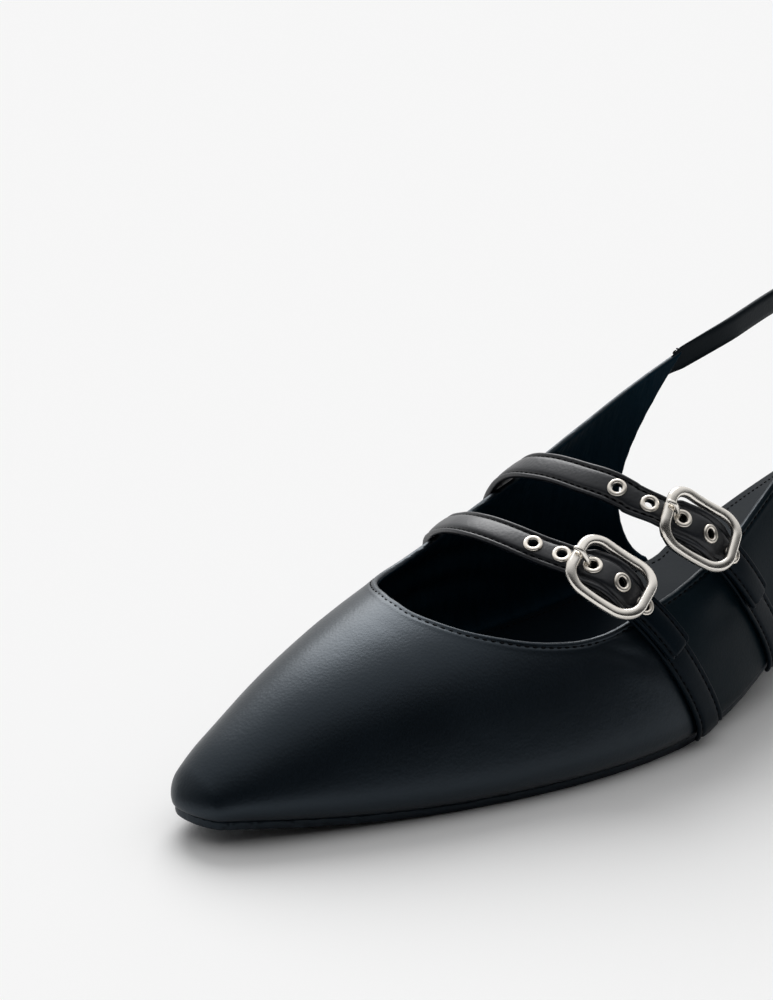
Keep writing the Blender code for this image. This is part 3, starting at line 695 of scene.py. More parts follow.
def make_material(name):
    mat = bpy.data.materials.new(name)
    mat.use_nodes = True
    tree = mat.node_tree
    shader = tree.nodes["Principled BSDF"]
    return mat, tree, shader


def noise(tree, coords, scale, detail=3.0, rough=0.5):
    node = tree.nodes.new("ShaderNodeTexNoise")
    node.inputs["Scale"].default_value = scale
    node.inputs["Detail"].default_value = detail
    node.inputs["Roughness"].default_value = rough
    tree.links.new(coords, node.inputs["Vector"])
    return node.outputs["Fac"]


def cells(tree, coords, scale):
    node = tree.nodes.new("ShaderNodeTexVoronoi")
    node.feature = "SMOOTH_F1"
    node.inputs["Scale"].default_value = scale
    node.inputs["Smoothness"].default_value = 0.6
    tree.links.new(coords, node.inputs["Vector"])
    return node.outputs["Distance"]


def remap(tree, value, low, high, to_low, to_high):
    node = tree.nodes.new("ShaderNodeMapRange")
    node.inputs["From Min"].default_value = low
    node.inputs["From Max"].default_value = high
    node.inputs["To Min"].default_value = to_low
    node.inputs["To Max"].default_value = to_high
    tree.links.new(value, node.inputs["Value"])
    return node.outputs["Result"]


def blend_colour(tree, factor, dark, light):
    node = tree.nodes.new("ShaderNodeMix")
    node.data_type = "RGBA"
    tree.links.new(factor, node.inputs["Factor"])
    node.inputs["A"].default_value = (*dark, 1.0)
    node.inputs["B"].default_value = (*light, 1.0)
    return node.outputs["Result"]


def bump(tree, height, strength, distance, normal=None):
    node = tree.nodes.new("ShaderNodeBump")
    node.inputs["Strength"].default_value = strength
    node.inputs["Distance"].default_value = distance
    tree.links.new(height, node.inputs["Height"])
    if normal is not None:
        tree.links.new(normal, node.inputs["Normal"])
    return node.outputs["Normal"]


def surface(name, dark, light, rough, mottle, uneven):
    """Material of mottled colour and uneven gloss, with its texture coordinates."""
    mat, tree, shader = make_material(name)
    coords = tree.nodes.new("ShaderNodeTexCoord").outputs["Object"]
    patch = noise(tree, coords, *mottle)
    shade = blend_colour(tree, remap(tree, patch, 0.3, 0.7, 0.0, 1.0), dark, light)
    tree.links.new(shade, shader.inputs["Base Color"])
    reach, less, more = uneven
    gloss = remap(tree, patch, 0.5 - reach, 0.5 + reach, rough - less, rough + more)
    tree.links.new(gloss, shader.inputs["Roughness"])
    return mat, tree, shader, coords


def leather(name, dark, light, rough, grain, cell_scale, wrinkle, gloss_level, tint):
    """Leather with a cell grain, fine pores, soft waves and uneven gloss."""
    mat, tree, shader, coords = surface(name, dark, light, rough, (45.0, 4.0), (0.25, 0.035, 0.045))
    fine = noise(tree, coords, 2600.0, 2.0)
    normal = bump(tree, cells(tree, coords, cell_scale), 0.16 * grain, 0.00012)
    normal = bump(tree, fine, 0.10 * grain, 0.00006, normal)
    soft = noise(tree, coords, 130.0, 2.0)
    normal = bump(tree, soft, 0.10, 0.0006, normal)
    if wrinkle:
        stretch = tree.nodes.new("ShaderNodeMapping")
        stretch.inputs["Scale"].default_value = (60.0, 260.0, 90.0)
        tree.links.new(coords, stretch.inputs["Vector"])
        folds = noise(tree, stretch.outputs["Vector"], 1.0, 3.0)
        normal = bump(tree, folds, wrinkle, 0.0012, normal)
    tree.links.new(normal, shader.inputs["Normal"])
    shader.inputs["Specular IOR Level"].default_value = gloss_level
    shader.inputs["Specular Tint"].default_value = (*tint, 1.0)
    shader.inputs["Coat Weight"].default_value = 0.03
    shader.inputs["Coat Roughness"].default_value = 0.20
    return mat


def metal(name, dark, light, rough):
    """Polished plated metal with faint handling marks."""
    mat, tree, shader, coords = surface(name, dark, light, rough, (300.0, 4.0), (0.2, 0.03, 0.05))
    normal = bump(tree, noise(tree, coords, 900.0, 2.0), 0.04, 0.0001)
    tree.links.new(normal, shader.inputs["Normal"])
    shader.inputs["Metallic"].default_value = 1.0
    return mat


def rubber(name, dark, light, rough, gloss_level):
    """Dull rubber or waxed thread with a fine tooth."""
    mat, tree, shader, coords = surface(name, dark, light, rough, (220.0, 5.0), (0.2, 0.05, 0.08))
    normal = bump(tree, noise(tree, coords, 1800.0, 3.0), 0.25, 0.0001)
    tree.links.new(normal, shader.inputs["Normal"])
    shader.inputs["Specular IOR Level"].default_value = gloss_level
    return mat


def turn_outward(mesh):
    """Make every face of a mesh look outward."""
    shell = bmesh.new()
    shell.from_mesh(mesh)
    bmesh.ops.recalc_face_normals(shell, faces=shell.faces[:])
    shell.to_mesh(mesh)
    shell.free()


def add_object(name, data):
    """A new object in the scene."""
    obj = bpy.data.objects.new(name, data)
    bpy.context.scene.collection.objects.link(obj)
    return obj


def put(name, points, faces, mats, nodes=(), face_slots=None, sharp=None):
    """A finished piece: mesh, materials, body and the nodes that it stands for."""
    mesh = bpy.data.meshes.new(name)
    points = np.asarray(points, float).reshape(-1, 3)
    mesh.from_pydata(points.tolist(), [], [tuple(int(i) for i in f) for f in faces])
    for mat in mats:
        mesh.materials.append(mat)
    if face_slots is not None:
        mesh.polygons.foreach_set("material_index", np.asarray(face_slots, np.int32))
    turn_outward(mesh)
    mesh.shade_smooth()
    if sharp:
        mesh.set_sharp_from_angle(angle=radians(sharp))
    obj = add_object(name, mesh)
    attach(obj, "root")
    if nodes:
        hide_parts(*nodes)
    return obj


def skin(rings, closed_run=False, offset=0):
    """Faces between rings of equally many points; the rings themselves are closed."""
    count, size = len(rings), len(rings[0])
    faces = []
    for k in range(count if closed_run else count - 1):
        a = offset + k * size
        b = offset + (k + 1) % count * size
        for i in range(size):
            j = (i + 1) % size
            faces.append((a + i, a + j, b + j, b + i))
    if not closed_run:
        faces.append(tuple(offset + i for i in range(size)))
        faces.append(tuple(offset + (count - 1) * size + i for i in range(size)))
    return faces


def joined(parts):
    """Points and faces of several runs of rings in one mesh; True closes a run."""
    points, faces = [], []
    for rings, closed in parts:
        faces += skin(rings, closed, len(points))
        points += [point for ring in rings for point in ring]
    return points, faces


def circle(centre, first, second, count, turned=0.0):
    """Points at even turns on a circle, from its centre and two half axes."""
    turn = 2 * pi * (np.arange(count)[:, None] + turned) / count
    return centre + np.cos(turn) * first + np.sin(turn) * second


# Sides of a sheet that has a thickness
TOP = 0
UNDER = 1
RIM = 2


def two_sided(n, m):
    """Faces of a sheet of n by m points with its underside and rim, and their sides."""
    shift = n * m
    faces, sides = [], []
    for i in range(n - 1):
        for a in range(i * m, i * m + m - 1):
            faces.append((a, a + m, a + m + 1, a + 1))
            faces.append((a + shift, a + 1 + shift, a + m + 1 + shift, a + m + shift))
            sides += [TOP, UNDER]
        for a in (i * m, i * m + m - 1):
            faces.append((a, a + m, a + m + shift, a + shift))
            sides.append(RIM)
    for j in range(m - 1):
        for a in (j, (n - 1) * m + j):
            faces.append((a, a + 1, a + 1 + shift, a + shift))
            sides.append(RIM)
    return faces, sides


def free_edge(count):
    """Chart points up the outer wing's end, along the topline and down the inner one."""
    end = np.linspace(EDGE_START, 1, count // 5)
    rib = np.concatenate([np.full(len(end), -1.0), np.linspace(-1, 1, count), np.full(len(end), 1.0)])
    row = np.concatenate([end, np.ones(count), end[::-1]])
    return rib, row


def spaced(points, values, pitch):
    """Values of a run of points, read at even steps along it."""
    walked = walked_along(points)
    return read_at(np.arange(pitch / 2, walked[-1], pitch), walked, values)


def nearest_distance(points, line):
    """Distance from each point to the nearest of a dense line of points."""
    flat = points.reshape(-1, 3)
    tree = mathutils.kdtree.KDTree(len(line))
    for i, p in enumerate(line):
        tree.insert(p, i)
    tree.balance()
    return np.array([tree.find(p)[2] for p in flat]).reshape(points.shape[:-1])


def surface_offset(rib, row, inward):
    """Chart points a given distance in from the free edge, and their normals."""
    p, q = rib_points(rib, row)
    here = chart(p, q)
    forward = unit(np.gradient(here, axis=0))
    normal = chart_normal(p, q)
    across = unit(np.cross(normal, forward))
    inside = rib_points(rib * INSIDE_RIB, np.maximum(row - INSIDE_ROW, 0.0))
    way = chart(*inside) - here
    sign = np.sign((across * way).sum(-1, keepdims=True))
    return here + across * sign * inward, normal


def dense_rows():
    """Shares along a rib, closest near the topline."""
    near = 1 - np.array([0.0, 0.003, 0.006, 0.010, 0.014, 0.018, 0.022, 0.026, 0.030, 0.034,
                         0.038, 0.043, 0.048, 0.054, 0.061, 0.070, 0.080, 0.092])
    far = np.linspace(0.0, 1 - 0.105, 62)
    return np.concatenate([far, near[::-1]])


def dense_ribs():
    """Ribs from wing to wing, closest near their ends."""
    near = np.array([0.0, 0.0015, 0.003, 0.005, 0.007, 0.009, 0.011, 0.013, 0.015, 0.018, 0.022, 0.027])
    middle = np.linspace(-1 + 0.033, 1 - 0.033, 250)
    return np.concatenate([-1 + near, middle, (1 - near)[::-1]])


def seam_profile(distance):
    """Height of the folded edge and its sewn groove by distance from the edge."""
    return sum(height * hump(distance, place, width) for place, width, height in EDGE_FORMS)


def upper_creases(points):
    """Soft troughs and ridges where the leather is pulled by the straps and the throat."""
    height = np.zeros(points.shape[:-1])
    for centre, way, length, width, depth in CREASES:
        delta = points - np.asarray(centre)
        way = np.asarray(way, float) / np.linalg.norm(way)
        along = (delta * way).sum(-1)
        off = np.linalg.norm(delta - along[..., None] * way, axis=-1)
        height += depth * hump(along, 0.0, length) * hump(off, 0.0, width)
    return height


def lining_ripple(points):
    """Shallow slack folds of the lining along the foot."""
    x, y, z = points[..., 0], points[..., 1], points[..., 2]
    wave = np.sin(z * RIPPLE_UP + RIPPLE_WANDER * np.sin(y * RIPPLE_ALONG) + x * RIPPLE_SIDE)
    fade = hump(y, RIPPLE_MIDDLE[0], RIPPLE_SPREAD[0]) * hump(z, RIPPLE_MIDDLE[1], RIPPLE_SPREAD[1])
    return -RIPPLE_HALF * (wave + 1) * fade * (x < RIPPLE_LIMIT)


def build_upper(mats):
    """The shell with its folded edge, its sewn groove and its lining; its outer quarter takes a lighter
    copy of the leather, a painted reflection.
    """
    rows = dense_rows()
    p, q = rib_points(dense_ribs()[:, None], rows[None, :])
    outside = chart(p, q)
    normal = chart_normal(p, q)
    distance = nearest_distance(outside, chart(*rib_points(*free_edge(1600))))
    near_floor = np.clip(rows[None, :] / EDGE_START, 0, 1)
    roll = UPPER_WALL * (1 - quarter_round(distance / (UPPER_WALL * ROLL_REACH)))
    lift = seam_profile(distance) * near_floor + upper_creases(outside)
    outer = outside + normal * (lift - OUTER_ROLL * roll * near_floor)[..., None]
    inward = -normal
    inward[:, 0, 2] = 0.0
    inward[:, 0] = unit(inward[:, 0])
    ripple = lining_ripple(outside) * np.clip(distance / LINING_FLAT, 0, 1)
    inner = outside + inward * (UPPER_WALL - INNER_ROLL * roll + ripple)[..., None]
    points = np.concatenate([outer.reshape(-1, 3), inner.reshape(-1, 3)])
    # The outer quarter behind the front band takes the third material: the upper's leather with its
    # colour raised and its gloss cut, a painted reflection
    band = StrapPath("front")
    middle = band.place(np.linspace(0.0, band.outer_end, 60), 0.0, 0.0)
    order = np.argsort(middle[:, 2])
    behind = outside[..., 1] > np.interp(outside[..., 2], middle[order, 2], middle[order, 1])
    quarter = (behind & (outside[..., 0] > 0)).reshape(-1)
    faces, sides = two_sided(*outside.shape[:2])
    slots = [2 if side == TOP and quarter[face[0]] else int(side == UNDER)
             for face, side in zip(faces, sides)]
    put("upper_leather", points, faces, mats, ("upper",), slots)


def stitch(centre, forward, up):
    """Rings of one stitch lying along a seam, its ends sunk in."""
    side = np.cross(forward, up)
    rings = []
    for share, size in STITCH_SHAPE:
        sink = -STITCH_SINK * STITCH_RADIUS * abs(share) ** 3
        spot = centre + forward * share * STITCH_LENGTH / 2 + up * sink
        radius = STITCH_RADIUS * size
        rings.append(circle(spot, side * radius, up * radius, STITCH_SIDES))
    return rings


def stitch_rows(name, rows, mat):
    """All the stitches of some seams in one mesh; a row is points and normals."""
    parts = []
    for run, ups in rows:
        spots = spaced(run, run, STITCH_PITCH)
        normals = unit(spaced(run, ups, STITCH_PITCH))
        forward = unit(np.gradient(spots, axis=0))
        parts += [(stitch(*place), False) for place in zip(spots, forward, normals)]
    points, faces = joined(parts)
    put(name, points, faces, [mat])


def strap_section(thickness, half):
    """Across and level of a padded strap with folded edges, going round once."""
    right = [(x * half, z * thickness) for x, z in STRAP_TOP]
    left = [(-x, z) for x, z in right[-2::-1]]
    return right + left + [(x * half, z * thickness) for x, z in STRAP_UNDER]


def in_frame(stations):
    """1 inside the buckle's opening, 0 outside, with soft ends."""
    left = np.clip((stations - PUFF_START) / PUFF_RISE, 0, 1)
    right = np.clip((PUFF_END - stations) / PUFF_FALL, 0, 1)
    return eased(left * right)


def build_strap(path, which, mat, tail_mat):
    """A padded strap with a soft tip, swollen in the buckle and punched."""
    stations = np.concatenate([
        np.linspace(path.inner_end, STRAP_TAIL - TIP_PART, STRAP_STATIONS),
        np.linspace(STRAP_TAIL - TIP_PART + 0.0002, STRAP_TAIL, TIP_STATIONS),
    ])
    low = strap_level(stations)
    to_tip = STRAP_TAIL - stations
    narrow = TIP_WIDTH + (1 - TIP_WIDTH) * quarter_round(to_tip / TIP_LENGTH)
    narrow = narrow * (1 + STRAP_PUFF * in_frame(stations))
    press = TIP_HEIGHT + (1 - TIP_HEIGHT) * quarter_round(to_tip / TIP_ROUND)
    section = strap_section(STRAP_THICKNESS, STRAP_WIDTH / 2)
    rings = [path.place(stations, across * narrow, low + level * press) for across, level in section]
    rings = np.stack(rings, 1)
    faces = skin(rings)
    tail = stations > FRAME_LENGTH / 2
    slots = [int(tail[min(face[0] // len(section), len(tail) - 1)]) for face in faces]
    strap = put(f"strap_{which}_leather", rings, faces, [mat, tail_mat],
                (f"strap_{which}",), slots)
    cut_strap(strap, path)


def cut_strap(strap, path):
    """Real holes under the eyelets, cut with one joined cutter."""
    radius = EYELET_BORE / 2 + HOLE_ROOM
    parts = []
    for distance in eyelet_distances():
        middle, forward, side, up = on_strap(path, distance, STRAP_THICKNESS / 2)
        rings = [circle(middle + up * level, forward * radius, side * radius, HOLE_SIDES, 0.5)
                 for level in (-2 * STRAP_THICKNESS, 2 * STRAP_THICKNESS)]
        parts.append((rings, False))
    points, faces = joined(parts)
    mesh = bpy.data.meshes.new("holes")
    mesh.from_pydata([tuple(p) for p in points], [], faces)
    turn_outward(mesh)
    cutter = add_object("holes", mesh)
    change = strap.modifiers.new("holes", "BOOLEAN")
    change.operation = "DIFFERENCE"
    change.object = cutter
    bpy.context.view_layer.update()
    seen = strap.evaluated_get(bpy.context.evaluated_depsgraph_get())
    cut = bpy.data.meshes.new_from_object(seen)
    strap.modifiers.clear()
    strap.data = cut
    cut.shade_smooth()
    cut.set_sharp_from_angle(angle=radians(HOLE_ANGLE))
    bpy.data.objects.remove(cutter)


def seam_along(path, stations, across, level):
    """A seam line along a strap with its normals."""
    return path.place(stations, across, level), path.frame(stations)[2]


def pad_rings(path):
    """Rings of the padded leather that fills the frame round the strap."""
    at = [row[0] for row in PAD_SHAPE]
    stations = np.linspace(at[0], at[-1], PAD_STATIONS)
    opening = FRAME_WIDTH / 2 - FRAME_BAR
    half = opening * np.interp(stations, at, [row[1] for row in PAD_SHAPE])
    ends = np.clip(half / opening, 0, 1)
    top = strap_level(stations) - PAD_GAP
    floor = np.full(PAD_STATIONS, CLEARANCE + BAND_THICKNESS)
    rings = []
    for across in np.linspace(1, -1, PAD_COLUMNS):
        size = abs(across)
        puff = np.sqrt(np.clip(1 - size ** 12, 0, 1))
        swell = PAD_SWELL * hump(size, PAD_SWELL_AT, PAD_SWELL_WIDTH)
        wave = PAD_WAVE * np.sin(stations * PAD_WAVES + PAD_SLANT * across) * (size > PAD_FLAT)
        level = floor + (top + swell - floor) * puff * ends + wave * puff
        rings.append(path.place_metal(stations, across * half, level))
    for side in (-1, 1):
        rings.append(path.place_metal(stations, side * half, floor - PAD_FOOT))
    return np.stack(rings, 1)


def band_half(path, stations, start):
    """Half width of a band, which widens towards the sole."""
    run = (stations - start) / (path.outer_end - start)
    return (BAND_WIDTH + BAND_FLARE * run * run) / 2


def build_band(path, which, mat, pad_mat):
    """A band up the outer side, with its padded end inside the frame."""
    start = -HINGE_BAR / 2 - CLEARANCE
    stations = np.linspace(start, path.outer_end, BAND_STATIONS)
    half = band_half(path, stations, start)
    rings = [path.place(stations, across * half, CLEARANCE + level)
             for across, level in strap_section(BAND_BODY, 1.0)]
    rings = np.stack(rings, 1)
    points, faces = joined([(rings, False), (pad_rings(path), False)])
    body = len(skin(rings))
    slots = [int(k >= body) for k in range(len(faces))]
    put(f"band_{which}_leather", points, faces, [mat, pad_mat],
        (f"band_{which}",), slots)


def round_bar(points, radius, flat, ups):
    """Rings of a bar along points, flattened along the given up directions."""
    forward = unit(np.gradient(points, axis=0))
    radius = np.broadcast_to(radius, len(points))
    turn = 2 * pi * np.arange(BAR_SIDES)[:, None] / BAR_SIDES
    c, s = (np.sign(v) * np.abs(v) ** BAR_SQUARE for v in (np.cos(turn), np.sin(turn)))
    rings = []
    for k in range(len(points)):
        side = unit(np.cross(forward[k], ups[k]))
        top = np.cross(side, forward[k])
        rings.append(points[k] + radius[k] * (c * side + flat * s * top))
    return rings


def smooth_loop(points, count):
    """A closed loop of points read at even steps."""
    closed = np.concatenate([points, points[:1]])
    walked = walked_along(closed)
    return read_at(np.linspace(0, walked[-1], count, endpoint=False), walked, closed)


def round_rectangle(length, width, corner):
    """Loop of distances and offsets with round corners."""
    loop = []
    for k in range(4):
        sx = (1, -1, -1, 1)[k]
        sy = (1, 1, -1, -1)[k]
        for i in range(CORNER_STEPS + 1):
            turn = radians(90 * k + 90 * i / CORNER_STEPS)
            loop.append((sx * (length / 2 - corner) + corner * cos(turn),
                         sy * (width / 2 - corner) + corner * sin(turn)))
    return np.asarray(loop)


def build_buckle(path, which, mat):
    """A bevelled frame with round corners, and its hinge bar."""
    corner = FRAME_CORNER - FRAME_BAR / 2
    loop = round_rectangle(FRAME_LENGTH - FRAME_BAR, FRAME_WIDTH - FRAME_BAR, corner)
    loop = smooth_loop(loop, FRAME_POINTS)
    distance, offset = loop.T
    points = path.place_metal(distance, offset, frame_level(distance))
    ups = unit(path.place_metal(distance, offset, frame_level(distance) + 0.001) - points)
    forward = unit(np.roll(points, -1, 0) - np.roll(points, 1, 0))
    outward = unit(np.cross(forward, ups))
    if ((points - points.mean(0)) * outward).sum() < 0:
        outward = -outward
    top = unit(ups - forward * (ups * forward).sum(-1, keepdims=True))
    rings = [points + (outward * out + top * rise) * FRAME_BAR / 2 for out, rise in BAR_SECTION]
    reach = (FRAME_WIDTH - FRAME_BAR) / 2
    offsets = np.linspace(-reach, reach, BAR_POINTS)
    bar = path.place(np.zeros(BAR_POINTS), offsets, np.full(BAR_POINTS, bar_level()))
    ups = np.repeat(path.frame(0.0)[2][None], BAR_POINTS, 0)
    hinge = round_bar(bar, HINGE_BAR / 2, 1.0, ups)
    points, faces = joined([(np.stack(rings, 1), True), (hinge, False)])
    put(f"buckle_{which}_metal", points, faces, [mat], (f"buckle_frame_{which}",), sharp=48)


def prong_corners():
    """Distance and level of the prong: beside the hinge bar, up the hole, over the frame."""
    over = frame_level(-FRAME_REACH) + FRAME_BAR / 2 + CLEARANCE + PRONG_THICKNESS / 2
    start = -HINGE_BAR / 2 - CLEARANCE - PRONG_THICKNESS / 2
    low = float(strap_level(PRONG_HOLE))
    below = (low - CLEARANCE - PRONG_THICKNESS) * 0.9
    hole = np.array([PRONG_HOLE + 0.0006, low - 0.0004])
    end = np.array([-FRAME_REACH, over])
    run = end - hole
    return np.array([
        (start, bar_level()),
        (start * 1.6, bar_level() - 0.5 * PRONG_THICKNESS),
        ((start + PRONG_HOLE) / 2, below),
        hole + (0.0003, -0.0004),
        hole,
        hole + 0.33 * run + (0.0, 0.00022),
        hole + 0.70 * run + (0.0, 0.00025),
        end,
        end - (0.0012, 0.0003),
    ])


def curve_through(corners, steps):
    """A smooth curve through corners, with some steps to each."""
    padded = np.concatenate([corners[:1], corners, corners[-1:]])
    t = np.arange(steps)[:, None] / steps
    parts = []
    for a, b, c, d in zip(padded, padded[1:], padded[2:], padded[3:]):
        bend = (2 * a - 5 * b + 4 * c - d) * t * t + (3 * b - a - 3 * c + d) * t ** 3
        parts.append(0.5 * (2 * b + (c - a) * t + bend))
    return np.concatenate(parts + [corners[-1:]])


def build_prong(path, which, mat):
    """A tapered tongue with a soft end."""
    fine = curve_through(prong_corners(), PRONG_STEPS)
    count = len(fine)
    points = path.place(fine[:, 0], np.zeros(count), fine[:, 1])
    forward = unit(np.gradient(points, axis=0))
    ups = unit(np.cross(forward, path.frame(PRONG_HOLE)[1]))
    rows = range(len(PRONG_WIDTHS))
    share = np.interp(np.linspace(0, rows[-1], count), rows, PRONG_WIDTHS)
    end = (count - 1 - np.arange(count)) / PRONG_TIP_POINTS
    share = share * (PRONG_TIP + (1 - PRONG_TIP) * quarter_round(end))
    rings = round_bar(points, share * PRONG_THICKNESS / 2, PRONG_FLAT, ups)
    put(f"prong_{which}_metal", rings, skin(rings), [mat], (f"prong_{which}",))


def build_eyelets(path, which, mat):
    """Turned rings with a rolled flange and a short barrel down the hole."""
    bore = EYELET_BORE / 2
    edge = EYELET_WIDTH / 2
    profile = [(bore, -BARREL_DEPTH), (bore, -BARREL_LIP)]
    for i in range(RIM_STEPS + 1):
        turn = pi * i / RIM_STEPS
        out = (bore + edge) / 2 - (edge - bore) / 2 * cos(turn)
        profile.append((out, RIM_HEIGHT * sin(turn) ** RIM_ROUND))
    profile += [(edge - 0.0001, -RIM_UNDER), (bore + 0.0004, -RIM_UNDER), (bore + 0.0002, -BARREL_DEPTH)]
    parts = []
    for distance in eyelet_distances():
        base, forward, side, up = on_strap(path, distance, STRAP_THICKNESS + RIM_LIFT)
        rings = [[base + out * r + up * h for r, h in profile]
                 for out in circle(0.0, forward, side, EYELET_SIDES)]
        parts.append((rings, True))
    points, faces = joined(parts)
    names = [f"eyelet_{which}_{k + 1}" for k in range(EYELET_COUNT)]
    put(f"eyelets_{which}_metal", points, faces, [mat], names)


def closed_outline(alongs, inset):
    """Plan points of both sides, which meet at the toe and at the heel."""
    outer, inner = outline(alongs, inset)
    for side in (outer, inner):
        side[[0, -1], 0] = 0.0
    return outer, inner


def fine_alongs(count):
    """Shares of the length, closer at the toe and at the heel."""
    even = (1 - np.cos(np.linspace(0, pi, count))) / 2
    return 0.55 * even + 0.45 * eased(even)


def sole_slab(name, alongs, inset, top, bottom, edge, mat, node):
    """A slab between two heights over the last's bottom, with rounded edges."""
    outer, inner = closed_outline(alongs, inset)
    share = (1 - np.cos(np.linspace(0, pi, SOLE_COLUMNS)))[None, :, None] / 2
    base = inner[:, None, :] * (1 - share) + outer[:, None, :] * share
    loop = smooth_loop(np.concatenate([outer, inner[::-1]]), EDGE_POINTS)
    rim = np.concatenate([loop, np.zeros((len(loop), 1))], -1)
    flat = np.concatenate([base, np.zeros(base.shape[:2] + (1,))], -1)
    near = np.minimum(nearest_distance(flat, rim), edge)
    drop = edge - np.sqrt(np.clip(edge ** 2 - (edge - near) ** 2, 0, None))
    level = last_bottom(base[..., 1] / SHOE_LENGTH)
    y = base[..., 1] - ORIGIN_FROM_TOE
    upper = np.stack([base[..., 0], y, level + top - drop], -1)
    lower = np.stack([base[..., 0], y, level + bottom + np.minimum(drop, edge * UNDER_EDGE)], -1)
    points = np.concatenate([upper.reshape(-1, 3), lower.reshape(-1, 3)])
    obj = put(name, points, two_sided(*upper.shape[:2])[0], [mat], (node,), sharp=60)
    shell = bmesh.new()
    shell.from_mesh(obj.data)
    bmesh.ops.remove_doubles(shell, verts=shell.verts[:], dist=1e-6)
    shell.to_mesh(obj.data)
    shell.free()


def insole_inset(alongs):
    """Inset of the insole: inside the upper's wall, and none behind the wings."""
    behind = np.clip((alongs - WING_END - INSOLE_STEP) / INSOLE_RAMP, 0, 1)
    return (1 - behind) * (UPPER_WALL + 2 * CLEARANCE)


def build_sole_pieces(sole_mat, insole_mat):
    """The outsole and the covered insole."""
    alongs = fine_alongs(SOLE_STATIONS)
    inset = np.full(len(alongs), OUTSOLE_INSET)
    sole_slab("outsole_leather", alongs, inset, -0.4 * CLEARANCE, -CLEARANCE - OUTSOLE_THICKNESS,
              OUTSOLE_EDGE, sole_mat, "outsole")
    sole_slab("insole_leather", alongs, insole_inset(alongs), INSOLE_THICKNESS, -0.1 * CLEARANCE,
              INSOLE_EDGE, insole_mat, "insole")


def insole_line(mat):
    """A sewn line round the insole, a little in from its edge."""
    alongs = fine_alongs(400)
    keep = (alongs > INSOLE_SEAM_RUN[0]) & (alongs < INSOLE_SEAM_RUN[1])
    rows = []
    for side in outline(alongs, insole_inset(alongs) + INSOLE_SEAM):
        side = side[keep]
        z = last_bottom(side[:, 1] / SHOE_LENGTH) + INSOLE_THICKNESS + INSOLE_SEAM_LIFT
        run = np.column_stack([side[:, 0], side[:, 1] - ORIGIN_FROM_TOE, z])
        rows.append((run, np.repeat([[0.0, 0.0, 1.0]], len(run), 0)))
    stitch_rows("insole_stitches", rows, mat)


def build_heel_pieces(cover, tread):
    """The covered block, tapered down to its rubber top piece."""
    ground = TOP_PIECE_THICKNESS + 0.2 * CLEARANCE
    rings = []
    for share in np.linspace(0, 1, HEEL_RINGS):
        narrow = np.interp(share, HEEL_SHARES, HEEL_NARROWING)
        loop = smooth_loop(heel_loop(HEEL_TAPER * narrow), HEEL_POINTS)
        along = (loop[:, 1] + ORIGIN_FROM_TOE) / SHOE_LENGTH
        ceiling = last_bottom(along) - OUTSOLE_THICKNESS - 1.2 * CLEARANCE
        rings.append(np.column_stack([loop, ground + (ceiling - ground) * share]))
    put("heel_cover_leather", rings, skin(rings), [cover], ("heel",), sharp=35)
    rings = []
    levels = (0.0, TREAD_EDGE, TOP_PIECE_THICKNESS - TOP_PIECE_EDGE, TOP_PIECE_THICKNESS)
    for z, extra in zip(levels, (TREAD_EDGE, 0.0, 0.0, TOP_PIECE_EDGE)):
        loop = smooth_loop(heel_loop(HEEL_TAPER + extra), HEEL_POINTS)
        rings.append(np.column_stack([loop, np.full(len(loop), z)]))
    put("top_piece_rubber", rings, skin(rings), [tread], ("heel_top_piece",), sharp=35)


def build_sling(mat):
    """The sling; its skived ends run up between the wings' leather and lining."""
    at = np.linspace(-1, 1, SLING_POINTS)
    from_end = 1 - np.abs(at)
    ends = eased(from_end / SLING_SKIVE)
    wide = eased((from_end - SLING_END) / SLING_NARROWING)
    drop = SLING_DROP * np.clip((at - SLING_DROP_START) / SLING_DROP_RUN, 0, 1)
    face = -SLING_END_DEPTH * UPPER_WALL * (1 - ends) - (UPPER_WALL + CLEARANCE) * ends
    thin = SLING_END_THICKNESS + (1 - SLING_END_THICKNESS) * ends
    width = SLING_END_WIDTH + (1 - SLING_END_WIDTH) * wide
    rings = []
    for across, level in strap_section(SLING_THICKNESS, SLING_WIDTH / 2):
        out = face - (SLING_THICKNESS - level) * thin
        rings.append(sling_place(at, across * width - SLING_END_DROP * (1 - wide) - drop, out))
    rings = np.stack(rings, 1)
    put("sling_leather", rings, skin(rings), [mat], ("sling_strap",))


